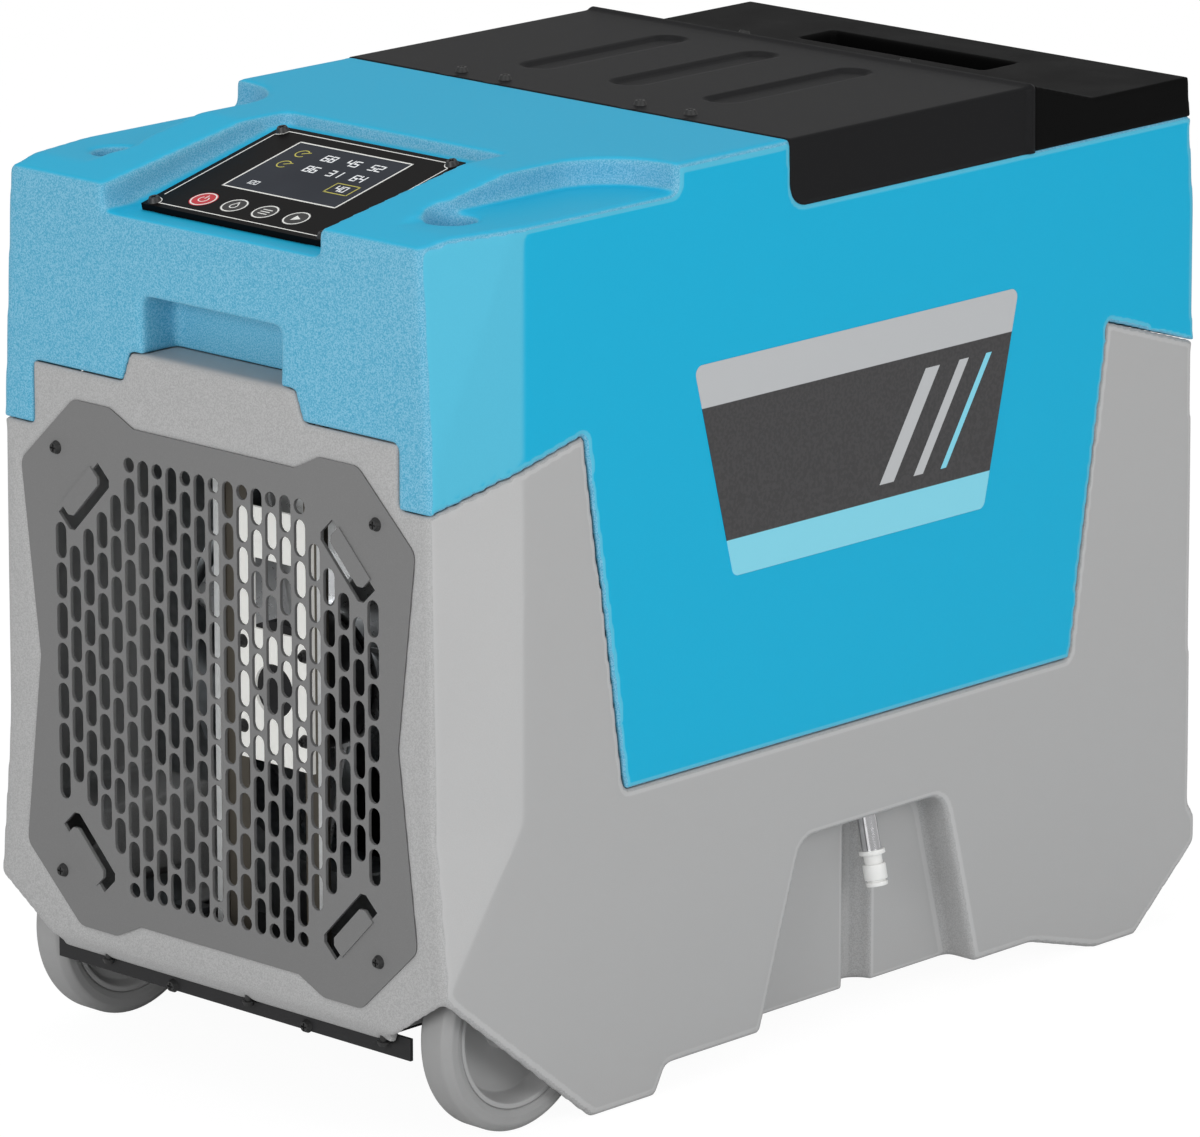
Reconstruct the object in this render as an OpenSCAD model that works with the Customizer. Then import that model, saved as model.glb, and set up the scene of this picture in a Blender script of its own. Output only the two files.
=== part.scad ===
/* [Overall] */
// Width over the lower sides of the casing
body_w = 350; // [290:1:430]
// Length from the front face to the rear bumper
body_l = 626; // [600:1:760]
// Height of the top deck above the floor
deck_z = 517; // [500:1:630]
/* [Casing] */
// Wall of the two moulded half shells
wall = 4; // [3:0.1:5]
// Taper of one side between its widest line and the deck
side_draft = 6; // [2:0.5:10]
// Height of the line below which the sides are upright
flare_z = 91; // [88:1:100]
// Height of the flat front shoulders
shoulder_z = 501.5; // [496:0.5:504]
// Drop from the shoulders to the top front edge
front_lip_drop = 4; // [2:0.5:8]
// Distance from the front face to the start of the deck
deck_start = 108; // [100:1:115]
/* [Front grille] */
// Centre height of the front grille
grille_z = 223.6; // [220:1:230]
// Thickness of the grille plate
grille_t = 2; // [1.2:0.1:2.4]
// Clearance all round the grille in its recess
grille_gap = 1.2; // [0.5:0.1:2]
// Distance between slot columns
slot_pitch_x = 11; // [10:0.1:11]
// Distance between slots in a column
slot_pitch_z = 22.9; // [22:0.1:23]
// Width of a slot
slot_w = 8.6; // [5:0.1:8.8]
// Length of a slot
slot_l = 20.7; // [16:0.1:20.8]
/* [Running gear] */
// Radius of the transport wheels
wheel_r = 59; // [50:1:62]
// Width of the tyres
tyre_w = 23; // [18:0.5:24]
// Radius of the stub axles
axle_r = 6; // [4:0.5:8]
// Distance from the front face to the wheel axles
axle_y = 71; // [66:1:74]
// Radial clearance of the running fits
run_fit = 0.05; // [0.02:0.01:0.1]
/* [Controls] */
// Width of the control panel
panel_w = 141; // [120:1:145]
// Depth of the control panel along its slope
panel_d = 110; // [104:1:112]
// Thickness of the control panel
panel_t = 4; // [3.5:0.1:5]
// Slope of the control panel
panel_tilt = 13.9; // [10:0.1:15]
// Radius of the round keys
key_r = 8.3; // [6:0.1:10]
// Travel of a key
key_travel = 0.4; // [0.3:0.1:0.6]
/* [Top covers] */
// Thickness of the sheet steel cover
cover_t = 1.6; // [1:0.1:2]
// Distance from the front face to the sheet steel cover
cover_y = 274; // [250:1:300]
// Length of the moulded cap behind the cover
cap_l = 138; // [120:1:150]
// Wall of the moulded cap
cap_t = 3; // [2:0.1:4]
// Height of the covers' lower edge above the floor
flange_z = 479; // [470:1:485]
/* [Drain] */
// Bore radius of the drain coupling
drain_bore_r = 3.2; // [2:0.1:3.4]
// Depth of the bore in the drain coupling
drain_bore_l = 16; // [10:1:20]
// Tilt of the drain coupling away from the side
drain_tilt = 12.6; // [0:0.1:16]
// Travel of the release collar
collar_travel = 1.5; // [1:0.1:2]
/* [Airflow] */
// Radius of the fan blades
fan_r = 108; // [80:1:112]
// Running gap between the blade tips and the shroud
tip_gap = 3; // [2:0.5:5]
// Distance from the front face to the motor struts
strut_y = 41; // [38:1:50]
// Half distance between the motor struts
strut_x = 38; // [34:1:44]
// Half spacing of the motor screws
motor_screw_half = 24; // [20:1:26]
/* [Refrigeration] */
// Radius of the compressor can
comp_r = 58; // [45:1:62]
// Height of the compressor can
comp_h = 190; // [150:1:230]
// Thickness of the evaporator
evap_d = 44; // [36:1:48]
// Thickness of the condenser
cond_d = 44; // [36:1:48]
// Thickness of the air filter
filter_d = 20; // [12:1:24]

/* [Hidden] */
$fn = 48;
eps = 0.01;
gap = 0.3;                 // between separate pieces with curved or sloping faces
hw = body_w / 2;
rear_y = body_l - 6;       // rear face, ahead of the bumper
far = 2 * body_l;          // larger than the whole object

// Casing sections
kink_z = 179;
leg_z = 370;
facet_low_y = 13;
facet_y = 64;
chan_x = hw - 46;          // half width of the open channel under the base
floor_z = 62.5;            // top of the base plate, and the front wall's lower edge
skid_z = 16;               // underside between the feet
well_y = 141;              // rear end of the wheel wells
well_z = wheel_r * 2 + 8;
well_x = hw - wall - 1;
blue_proud = 0.8;          // upper shell stands out from the lower one
function side_x(z) = hw - side_draft * max(0, z - flare_z) / (deck_z - flare_z);
function front_x(z) = lookup(z, [[flare_z, hw - 0.2], [kink_z, hw - 9.2], [leg_z, hw - 11.3],
  [deck_z, hw - 20]]);
function corner_y(z) = lookup(z, [[flare_z, facet_low_y], [kink_z, facet_y - 2], [deck_z, facet_y + 4]]);

// Seam between the shells
seam_leg_z = 355;
seam_leg_x = hw - 34;
seam_shoulder_z = 390.6;
seam_riser_z = 408;
seam_riser_x = 63.3;
seam_base_x = 70;
seam_peak_y = 111;
seam_peak_z = 381;
panel_low_z = 180;
panel_low_y = 140;
panel_rear_y = body_l - 116;
seam_rear_y = body_l - 83;
seam_rear_z = 371;
seam_back_z = 345;

// Front grip
grip_x = 53;
grip_low_z = seam_riser_z;
grip_high_z = 440;
grip_d = 27;

// Control recess
recess_x = 83;
recess_floor_z = 482.4 + deck_z - 517;
recess_rear_y = 140;
panel_front_y = 17.3;      // the panel's top front edge
panel_front_z = recess_floor_z + panel_t * cos(panel_tilt);
panel_foot_y = panel_front_y + panel_t * sin(panel_tilt);
panel_back_y = panel_foot_y + panel_d * cos(panel_tilt);
key_xs = [-39.2, -15.4, 8.2, 32];
key_up = 17.4;
window_low = 36;
window_high = 97;
window_x = 43;
panel_screw_x = 65;
panel_screw_up = [5, 105];
key_fit = 0.25;
key_seat_r = key_r + key_fit;

// Scoops and pockets at the shoulders
scoop_x = hw - 57;
scoop_rear_y = 184;
scoop_r = 44;
pocket_x = hw - 47;
pocket_y = 54;
pocket_r = 13.5;
pocket_d = 12;

// Grille outline, as half widths and heights from its centre
grille_side_x = 152.4;
grille_waist_x = 139;
grille_corner_z = 109.5;
grille_peak_z = 150;
grille_peak_in = 81;
grille_peak_out = 110;
grille_run_x = 62;
grille_run_z = 141;
grille_round = 9;
grille_set = 1;            // front face of the grille behind the front face
grille_screw_x = 123.6;
grille_screw_z = 120.8;
slot_cols = 23;
slot_rows = 11;
corner_skip = [2, 2.5, 2, 1.5, 1];  // slots missing at each end of the outer columns

// Covers
cap_y = rear_y - 5 - cap_l;
pocket_w = 142;
cap_slope_l = 53;
cap_drop = 14.5;
cap_low = deck_z - cap_drop;
cap_screw_s = 13;
cover_seam = 0.1;
grab_y = cap_y + cap_slope_l + 18;
grab_d = 30;
grab_depth = 27;
cover_corner = 13;
groove_w = 24;
groove_l = 128;
groove_xs = [-73, -3, 68.7];
cover_screw_x = [-92, -58, 46, 84];

// Drain recess in the right side
bay_low_y = [218, 454];    // where the bay's edges would reach z = -80
bay_high_y = [282.6, 401.7];
bay_z = 121;
bay_d = 21;
bay_r = 14;
bay_chan_y = 351.5;
bay_chan_r = 11;
drain_y = 349;
drain_x = hw - 12;
drain_z = 115.4;           // where the fitting leaves the recess's ceiling

// Inside
plate_t = 2;
fan_z = grille_z - 3;
plate_top = floor_z;
coil_w = 194;
coil_h = 250;
coil_z = plate_top + 30;
filter_y = rear_y - 2 - wall - filter_d;
evap_y = filter_y - 12 - evap_d;
hx_d = 30;
hx_y = evap_y - 6 - hx_d;
cond_y = hx_y - 6 - cond_d;
comp_x = 38;
comp_y = 300;
comp_z = plate_top + 22;

module in_frame() translate([0, -body_l / 2, 0]) children();
module both_sides() { children(); mirror([1, 0, 0]) children(); }
// A flat outline in Y and Z, drawn out along X
module along_x(x0, x1) translate([x0, 0, 0]) rotate([90, 0, 90]) linear_extrude(x1 - x0) children();
// A flat outline in X and Z, drawn out along Y
module along_y(y0, y1) translate([0, y1, 0]) rotate([90, 0, 0]) linear_extrude(y1 - y0) children();
module block(a, b) translate(a) cube([b[0] - a[0], b[1] - a[1], b[2] - a[2]]);

// ---- Casing solids ----
// The casing's section at a height, moved inwards all round
function plan(z, inset) = let (fx = front_x(z), sx = side_x(z), cy = corner_y(z), w = sx - fx,
    d = norm([w, cy]), x = fx - inset * (d - w) / cy, y = cy + inset * (d - cy) / w, b = rear_y + 6 - inset)
  [[-x, inset], [x, inset], [sx - inset, y], [sx - inset, b], [inset - sx, b], [inset - sx, y]];
function raised(pts, z) = [for (p = pts) [p[0], p[1], z]];
module block_between(z0, z1, inset) polyhedron(concat(raised(plan(z0, inset), z0), raised(plan(z1, inset), z1)),
  concat([[0, 1, 2, 3, 4, 5], [11, 10, 9, 8, 7, 6]], [for (i = [0:5]) [i, i + 6, (i + 1) % 6 + 6, (i + 1) % 6]]));
module casing_block(inset) {
  linear_extrude(flare_z) polygon(plan(flare_z, inset));
  block_between(flare_z, kink_z, inset);
  block_between(kink_z, leg_z, inset);
  block_between(leg_z, deck_z, inset);
}
module side_outline() polygon([[0, flare_z - 1], [112, 0], [164, 0], [172.5, skid_z],
  [rear_y - 141, skid_z], [rear_y - 84, 0], [rear_y - 47, 0], [rear_y + 6, 45], [rear_y + 6, 62],
  [rear_y, 70], [rear_y, deck_z - 90], [rear_y - 8, deck_z], [deck_start, deck_z],
  [0, shoulder_z - front_lip_drop]]);
// The front wall is cut away ahead of the wheels
module low_front() both_sides() along_y(-1, wall + 0.5) polygon([[hw + 1, flare_z], [hw - 0.2, flare_z],
  [hw - 42, floor_z], [chan_x, floor_z], [chan_x, -1], [hw + 1, -1]]);
module wheel_wells(grow) both_sides()
  block([chan_x - grow, wall - grow, -1], [well_x + grow, well_y + grow, well_z + grow]);
// The open channel under the base; its front rim is bevelled and hangs lower
lip_y = 9.7;
rim_z = 57;
rim_bevel = 5.5;
rim_high_z = 66;
module channel(grow) along_x(-chan_x - grow, chan_x + grow) polygon(grow > 0 ?
  [[-1, -1], [far, -1], [far, floor_z + grow], [-1, floor_z + grow]] :
  [[-1, -1], [far, -1], [far, floor_z], [lip_y, floor_z], [lip_y, rim_z], [rim_bevel, rim_z],
    [0, rim_high_z], [-1, rim_high_z]]);
module drain_bay(grow) {
  along_x(hw - bay_d - grow, hw + 1) offset(r = bay_r + grow) offset(delta = -bay_r)
    polygon([[bay_low_y[0], -80], [bay_high_y[0], bay_z], [bay_high_y[1], bay_z], [bay_low_y[1], -80]]);
  translate([hw - bay_d, bay_chan_y, -1]) cylinder(r = bay_chan_r + grow, h = bay_z + grow - 4);
}
module control_recess(grow) {
  back_z = recess_floor_z - grow + panel_d * sin(panel_tilt);
  along_x(-recess_x - grow, recess_x + grow) polygon([[-1, recess_floor_z - grow],
    [panel_foot_y, recess_floor_z - grow], [panel_back_y, back_z], [recess_rear_y + grow, back_z],
    [recess_rear_y + grow, deck_z + 1], [-1, deck_z + 1]]);
}
module scoops(grow) both_sides() {
  difference() {
    block([scoop_x - grow, -1, shoulder_z - grow], [hw + 1, scoop_rear_y + grow, deck_z + 1]);
    translate([scoop_x - grow, scoop_rear_y - scoop_r, shoulder_z - grow - 1]) difference() {
      cube([scoop_r, scoop_r + grow + 1, 40]);
      translate([scoop_r, 0, -1]) cylinder(r = scoop_r + grow, h = 50);
    }
  }
  translate([pocket_x, pocket_y, shoulder_z - pocket_d - grow]) cylinder(r = pocket_r + grow, h = 30);
}
module front_grip(grow)
  block([-grip_x - grow, -1, grip_low_z - grow], [grip_x + grow, grip_d + grow, grip_high_z + grow]);
module grille_recess(grow)
  along_y(-1, grille_set + grille_t + grow) grille_outline(grille_gap + grow);
module cut_outs(grow) {
  channel(grow);
  if (grow == 0) low_front();
  wheel_wells(grow);
  drain_bay(grow);
  control_recess(grow);
  scoops(grow);
  front_grip(grow);
  grille_recess(grow);
  rear_recess(grow);
}
// Only the skirts outside the wheels rise to the front; between them the front wall goes straight down
module front_fill() block([-well_x, -1, 0], [well_x, well_y, flare_z]);
module casing_outer(proud) difference() {
  intersection() {
    casing_block(-proud);
    union() {
      along_x(-hw - 1, hw + 1) side_outline();
      front_fill();
    }
  }
  cut_outs(0);
}
module casing_inner() difference() {
  intersection() {
    casing_block(wall);
    union() {
      along_x(-hw, hw) offset(delta = -wall) side_outline();
      front_fill();
    }
  }
  cut_outs(wall);
}
// Everything above the seam, grown downwards by a gap
module above_seam(down) {
  difference() {
    along_x(-hw - 1, hw + 1) polygon([[-1, seam_leg_z - down], [0, seam_leg_z - down],
      [facet_y, lookup(facet_y, [[0, seam_leg_z], [seam_peak_y, seam_peak_z]]) - down],
      [seam_peak_y - down, seam_peak_z - down], [panel_low_y - down, panel_low_z - down],
      [panel_rear_y + down, panel_low_z - down], [seam_rear_y + down / 2, seam_rear_z - down],
      [rear_y + 7, seam_back_z - down], [rear_y + 7, deck_z + 2], [-1, deck_z + 2]]);
    block([-seam_leg_x + down, -2, 0], [seam_leg_x - down, 40, seam_riser_z + 1]);
    block([-hw + 20, 20, 0], [hw - 20, body_l - 20, seam_back_z - down]);
  }
  along_y(-1, 41) polygon([[-seam_leg_x - 1, seam_shoulder_z - down], [-seam_base_x, seam_shoulder_z - down],
    [-seam_riser_x, seam_riser_z - down], [seam_riser_x, seam_riser_z - down],
    [seam_base_x, seam_shoulder_z - down], [seam_leg_x + 1, seam_shoulder_z - down],
    [seam_leg_x + 1, deck_z + 1], [-seam_leg_x - 1, deck_z + 1]]);
}
module grille_outline(grow) translate([0, grille_z]) offset(r = grille_round + grow)
  offset(delta = -grille_round) polygon([
    for (q = [[1, 1], [1, -1], [-1, -1], [-1, 1]])
      let (pts = [[grille_run_x, grille_run_z], [grille_peak_in, grille_peak_z], [grille_peak_out, grille_peak_z],
        [grille_side_x, grille_corner_z], [grille_waist_x, 0]])
      for (i = [q[0] * q[1] > 0 ? 0 : 1 : 4]) let (k = q[0] * q[1] > 0 ? i : 4 - i)
        [pts[k][0] * q[0], pts[k][1] * q[1]]]);

// ---- Casing ----
rear_grille_z = 213;
rear_grille_w = 262;
rear_grille_h = 232;
rear_grille_t = 2;
rear_screw_x = rear_grille_w / 2 - 12;
rear_screw_z = rear_grille_h / 2 - 12;
module rear_panel(grow) translate([0, rear_grille_z]) offset(r = 10 + grow) offset(delta = -10)
  square([rear_grille_w, rear_grille_h], center = true);
module rear_recess(grow) along_y(rear_y - rear_grille_t - grow, rear_y + 20) rear_panel(0.6 + grow);
inlet_x = 108;
inlet_z = 388;
inlet_w = 28;
inlet_h = 21;
module inlet_hole() translate([inlet_x, rear_y + 1, inlet_z]) rotate([90, 0, 0])
  linear_extrude(20) square([inlet_w, inlet_h], center = true);
module grille_openings() {
  along_y(-1, 30) difference() {
    grille_outline(-8);
    for (sx = [-1, 1], sz = [-1, 1]) translate([sx * grille_screw_x, grille_z + sz * grille_screw_z]) circle(9);
  }
  along_y(rear_y - 30, rear_y + 1) difference() {
    rear_panel(-10);
    for (sx = [-1, 1], sz = [-1, 1]) translate([sx * rear_screw_x, rear_grille_z + sz * rear_screw_z]) circle(8);
  }
  grille_screw_places() screw_hole();
  rear_screw_places() screw_hole();
}
module screw_hole() translate([0, 0, -15]) cylinder(r = screw_r + 0.1, h = 30);
module cover_profile(inset) polygon([[-side_x(flange_z) - blue_proud + inset, flange_z - inset],
  [side_x(flange_z) + blue_proud - inset, flange_z - inset],
  [side_x(deck_z) + blue_proud - inset, deck_z - inset], [-side_x(deck_z) - blue_proud + inset, deck_z - inset]]);
// The cover's rounded lower front corner
module cover_corner_off(grow) along_x(-hw - 2, hw + 2) difference() {
  translate([cover_y - 1, flange_z - 1]) square(cover_corner + 1);
  translate([cover_y + cover_corner, flange_z + cover_corner]) circle(cover_corner + grow);
}
module cover_space() difference() {
  along_y(cover_y - gap, cap_y) difference() {
    translate([-hw - 1, flange_z]) square([body_w + 2, deck_z - flange_z + 22]);
    cover_profile(cover_t + gap);
  }
  cover_corner_off(gap);
}
// The moulded cap's shape: it slopes down behind the cover and is level from there to the rear
module cap_outline() intersection() {
  side_outline();
  polygon([[cap_y - 20, flange_z - 20], [cap_y - 20, deck_z], [cap_y, deck_z], [cap_y + cap_slope_l, cap_low],
    [far, cap_low], [far, flange_z - 20]]);
}
module cap_body(inset) intersection() {
  along_x(-hw - 2, hw + 2) offset(delta = -inset) cap_outline();
  along_y(cap_y - (inset > 0 ? 1 : 0), far) cover_profile(inset);
}
module cap_space() difference() {
  block([-hw - 2, cap_y, flange_z], [hw + 2, far, deck_z + 1]);
  cap_body(cap_t + gap);
}
// Thicker walls under the covers
module roof_backing() {
  block([-hw, cover_y - wall, deck_z - 2 * wall], [hw, far, deck_z + 1]);
  block([-hw, cap_y - wall, cap_low - 2 * wall], [hw, far, deck_z + 1]);
  block([-hw, rear_y - 15, flange_z - wall], [hw, far, deck_z + 1]);
  both_sides() block([hw - 15, cap_y - wall, flange_z - wall], [hw, far, deck_z + 1]);
}
module lower_shell() in_frame() color([0.65, 0.65, 0.65]) difference() {
  casing_outer(0);
  casing_inner();
  above_seam(gap);
  grille_openings();
  chassis_opening();
  both_sides() block([plate_x - 24, axle_y - 26, floor_z - 1], [chan_x + eps, axle_y + 26, axle_z + 26]);
  drain_axis() translate([0, 0, -14]) cylinder(r = fitting_r + gap, h = 44);
  base_screw_places() screw_hole();
}
module chassis_opening() block([-chan_x + 14, 24, floor_z - 1], [chan_x - 14, rear_y - 32, floor_z + wall + 1]);
module upper_shell() in_frame() color([0.16, 0.65, 0.8]) difference() {
  intersection() {
    casing_outer(blue_proud);
    above_seam(0);
  }
  difference() {
    casing_inner();
    roof_backing();
  }
  cover_space();
  cap_space();
  block([-hw + 40, cover_y + 22, deck_z - 20], [hw - 40, cap_y - 7, deck_z + 1]);
  block([-pocket_w / 2 - cap_t - gap, grab_y - cap_t - gap, cap_low - 2 * grab_depth],
    [pocket_w / 2 + cap_t + gap, grab_y + grab_d + cap_t + gap, deck_z + 1]);
  on_panel() translate([-board_x - 1.5, board_low - 1.5, -panel_t - 20])
    cube([2 * board_x + 3, board_l + 3, panel_t + 20]);
  inlet_hole();
  cover_screw_places() screw_hole();
  cap_screw_places() screw_hole();
  panel_screw_places() screw_hole();
}

// ---- Screws: axis along +Z, head on top of the seat at z = 0 ----
screw_r = 2;
head_r = 3.9;
head_h = 2.6;
module pan_screw(len = 9) {
  translate([0, 0, -len]) cylinder(r = screw_r, h = len + 0.1);
  difference() {
    cylinder(r1 = head_r, r2 = head_r - 1.2, h = head_h);
    for (a = [0, 90]) rotate(a) translate([-head_r * 0.55, -0.5, head_h - 1.2]) cube([head_r * 1.1, 1, 2]);
  }
}
module grille_screw_places() for (sx = [-1, 1], sz = [-1, 1])
  translate([sx * grille_screw_x, grille_set, grille_z + sz * grille_screw_z]) rotate([90, 0, 0]) children();
module rear_screw_places() for (sx = [-1, 1], sz = [-1, 1])
  translate([sx * rear_screw_x, rear_y, rear_grille_z + sz * rear_screw_z]) rotate([-90, 0, 0]) children();
module cover_screw_places() for (x = cover_screw_x) translate([x, cover_y + 13, deck_z]) children();
module base_screw_places() {
  for (x = [-93, 18, 122]) translate([x, lip_y - head_r, rim_z]) rotate([180, 0, 0]) children();
  for (x = [-46, 59]) translate([x, lip_y + gap, floor_z - plate_t - lip_h + 2.5]) rotate([90, 0, 0]) children();
  for (x = [-90, 0, 90]) translate([x, rear_y - 24, floor_z - plate_t]) rotate([180, 0, 0]) children();
}
module grille_screws() in_frame() color([0.08, 0.08, 0.08]) grille_screw_places() pan_screw();
module rear_grille_screws() in_frame() color([0.08, 0.08, 0.08]) rear_screw_places() pan_screw();
module top_cover_screws() in_frame() color([0.08, 0.08, 0.08]) cover_screw_places() pan_screw(8);
module base_plate_screws() in_frame() color([0.6, 0.6, 0.6]) base_screw_places() pan_screw(4);

// ---- Grilles and filter ----
// Slot column c runs from 1 to slot_cols; skips count from the nearer edge
function skipped(c) = let (k = min(c, slot_cols + 1 - c)) k <= len(corner_skip) ? corner_skip[k - 1] : 0;
module front_slots() for (c = [1:slot_cols]) {
  half = slot_rows / 2 - skipped(c);
  x = (c - (slot_cols + 1) / 2) * slot_pitch_x;
  n = floor(half * 2 + eps) - (skipped(c) == 0 && c % 2 == 0 ? 1 : 0);
  for (i = [0:n - 1]) translate([x, grille_z + (i - (n - 1) / 2) * slot_pitch_z])
    slot(slot_w, slot_l);
  if (skipped(c) == 0 && c % 2 == 0) for (s = [-1, 1])
    translate([x, grille_z + s * (slot_rows / 2 * slot_pitch_z - (slot_pitch_z - slot_l) / 2 - slot_w / 2)])
      circle(slot_w / 2, $fn = 12);
}
// An upright slot with round ends
module slot(w, l) polygon([for (s = [1, -1], i = [0:slot_steps]) let (a = i * 180 / slot_steps)
  [s * w / 2 * cos(a), s * ((l - w) / 2 + w / 2 * sin(a))]]);
slot_steps = 6;
// Near each corner a window holds a pressed tab, which hangs on its outer edge and stands proud
module at_tabs() for (sx = [0, 1], sz = [0, 1]) mirror([sx, 0]) mirror([0, sz])
  translate([tab_x, tab_z + (sz == 0 ? tab_shift : -tab_shift)]) rotate(-tab_turn) children();
module tab_outline(half, low, high) polygon([[-half + tab_cut, low], [half - tab_cut, low], [half, low + tab_cut],
  [half, high], [-half, high], [-half, low + tab_cut]]);
module tab_window() tab_outline(tab_l / 2, -tab_w / 2, tab_leg - tab_w / 2);
module tab_face() tab_outline(tab_l / 2 - tab_w, tab_w / 2, tab_leg - tab_w / 2 + 2);
tab_x = 98;
tab_z = 97.4;
tab_l = 46;
tab_w = 6;
tab_leg = 15;
tab_turn = 46;
tab_shift = -4.6;          // the windows sit a little low
tab_cut = 3;
tab_out = 0.1;             // front of the tabs behind the front face
module front_grille() in_frame() color([0.42, 0.42, 0.42]) difference() {
  union() {
    along_y(grille_set, grille_set + grille_t) difference() {
      grille_outline(0);
      front_slots();
      translate([0, grille_z]) at_tabs() tab_window();
    }
    along_y(tab_out, tab_out + grille_t) translate([0, grille_z]) at_tabs() tab_face();
  }
  grille_screw_places() screw_hole();
}
louvre_l = 62;
louvre_h = 7;
louvre_pitch = 13;
module rear_slots() for (r = [-7:7], c = [-1:1]) translate([c * (louvre_l + 12), rear_grille_z + r * louvre_pitch])
  rotate(90) slot(louvre_h, louvre_l);
module rear_grille() in_frame() color([0.42, 0.42, 0.42]) difference() {
  along_y(rear_y - rear_grille_t, rear_y) difference() {
    rear_panel(0);
    rear_slots();
  }
  rear_screw_places() screw_hole();
}
filter_w = rear_grille_w + 4;
filter_h = 236;
filter_z = rear_grille_z - filter_h / 2;
filter_rim = 10;
pleats = 20;
module filter_frame() in_frame() color([0.12, 0.12, 0.13])
  difference() {
    block([-filter_w / 2, filter_y, filter_z], [filter_w / 2, filter_y + filter_d, filter_z + filter_h]);
    block([-filter_w / 2 + filter_rim, filter_y - 1, filter_z + filter_rim],
      [filter_w / 2 - filter_rim, filter_y + filter_d + 1, filter_z + filter_h - filter_rim]);
  }
module filter_media() in_frame() color([0.85, 0.87, 0.85]) {
  w = filter_w - 2 * filter_rim;
  pitch = w / pleats;
  translate([0, 0, filter_z + filter_rim]) linear_extrude(filter_h - 2 * filter_rim) polygon(concat(
    [for (i = [0:pleats * 2]) [-w / 2 + i * pitch / 2, filter_y + (i % 2 == 0 ? 2 : filter_d - 4)]],
    [for (i = [pleats * 2:-1:0]) [-w / 2 + i * pitch / 2, filter_y + (i % 2 == 0 ? 4 : filter_d - 2)]]));
}

// ---- Top covers ----
module groove(x) translate([x, cover_y + 46 + groove_w / 2, deck_z - 1]) {
  linear_extrude(3) offset(r = groove_w / 2) square([eps, groove_l - groove_w]);
}
module top_cover() in_frame() color([0.16, 0.16, 0.17]) difference() {
  along_y(cover_y, cap_y - cover_seam) difference() {
    cover_profile(0);
    cover_profile(cover_t);
  }
  for (x = groove_xs) groove(x);
  cover_corner_off(0);
  cover_screw_places() screw_hole();
}
module rear_cap() in_frame() color([0.07, 0.07, 0.07]) difference() {
  union() {
    difference() {
      cap_body(0);
      difference() {
        cap_body(cap_t);
        pocket_tub(cap_t);
      }
    }
    pocket_tub(cap_t, cap_low - 1);
  }
  pocket_tub(0);
  cap_screw_places() screw_hole();
}
module pocket_tub(grow, top = deck_z + 1) block([-pocket_w / 2 - grow, grab_y - grow, cap_low - grab_depth - grow],
  [pocket_w / 2 + grow, grab_y + grab_d + grow, top]);
module cap_screw_places() for (x = [-62, 62]) translate([x, cap_y + cap_screw_s, deck_z - cap_screw_s * cap_drop / cap_slope_l])
  rotate([-atan(cap_drop / cap_slope_l), 0, 0]) children();
module rear_cap_screws() in_frame() color([0.08, 0.08, 0.08]) cap_screw_places() pan_screw(7);

// ---- Control panel ----
module on_panel() translate([0, panel_front_y, panel_front_z]) rotate([panel_tilt, 0, 0]) children();
module panel_screw_places() on_panel()
  for (x = [-panel_screw_x, panel_screw_x], y = panel_screw_up) translate([x, y, 0]) children();
module control_panel() in_frame() color([0.05, 0.05, 0.05]) difference() {
  on_panel() translate([-panel_w / 2, 0, -panel_t]) cube([panel_w, panel_d, panel_t]);
  on_panel() {
    translate([-window_x, window_low, -panel_t - 1]) cube([2 * window_x, window_high - window_low, panel_t + 2]);
    for (x = key_xs) translate([x, key_up, -panel_t - 1]) cylinder(r = key_seat_r, h = panel_t + 2);
  }
  panel_screw_places() screw_hole();
}
module display_window() in_frame() color([0.1, 0.1, 0.12]) on_panel()
  translate([-window_x, window_low, -1.6]) cube([2 * window_x, window_high - window_low, 1.6]);
module display_module() in_frame() color([0.2, 0.22, 0.24]) on_panel()
  translate([-window_x + gap, window_low + gap, -panel_t])
    cube([2 * (window_x - gap), window_high - window_low - 2 * gap, panel_t - 1.6]);
board_t = 1.6;
board_x = panel_w / 2 - 14;
board_low = 4;
board_l = panel_d - 14;
cap_h = 2;
module control_board() in_frame() color([0.1, 0.4, 0.2]) {
  on_panel() translate([-board_x, board_low, -panel_t - board_t]) cube([2 * board_x, board_l, board_t]);
}
module key(x) in_frame() on_panel() translate([x, key_up, 0]) {
  translate([0, 0, -cap_h]) cylinder(r = key_r, h = cap_h);
  translate([0, 0, -panel_t + key_travel]) cylinder(r = 3, h = panel_t - cap_h - key_travel + eps);
}
module key_power() color([0.85, 0.1, 0.12]) key(key_xs[0]);
module key_purge() color([0.05, 0.05, 0.05]) key(key_xs[1]);
module key_mode() color([0.05, 0.05, 0.05]) key(key_xs[2]);
module key_next() color([0.05, 0.05, 0.05]) key(key_xs[3]);
module panel_screws() in_frame() color([0.08, 0.08, 0.08]) panel_screw_places() pan_screw(7);

// ---- Chassis and running gear ----
lip_h = 12.5;
plate_x = chan_x - 4;
module base_plate() in_frame() color([0.2, 0.2, 0.21]) difference() {
  union() {
    block([-plate_x, lip_y + gap, floor_z - plate_t], [plate_x, rear_y - 16, floor_z]);
    block([-plate_x, lip_y + gap, floor_z - plate_t - lip_h], [plate_x, lip_y + gap + plate_t, floor_z]);
    block([-tyre_in + 2, lip_y + gap, floor_z - plate_t - lip_h], [tyre_in - 2, lip_y + gap + plate_t, floor_z - plate_t]);
    block([-plate_x, rear_y - 18, floor_z - plate_t - lip_h], [plate_x, rear_y - 16, floor_z]);
  }
  base_screw_places() screw_hole();
  both_sides() block([plate_x - 14, axle_y - 12, 0], [plate_x + 1, axle_y + 12, floor_z + 1]);
}
axle_z = wheel_r;
tyre_out = hw - 12;
tyre_in = tyre_out - tyre_w;
rim_r = wheel_r - 13;
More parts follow.
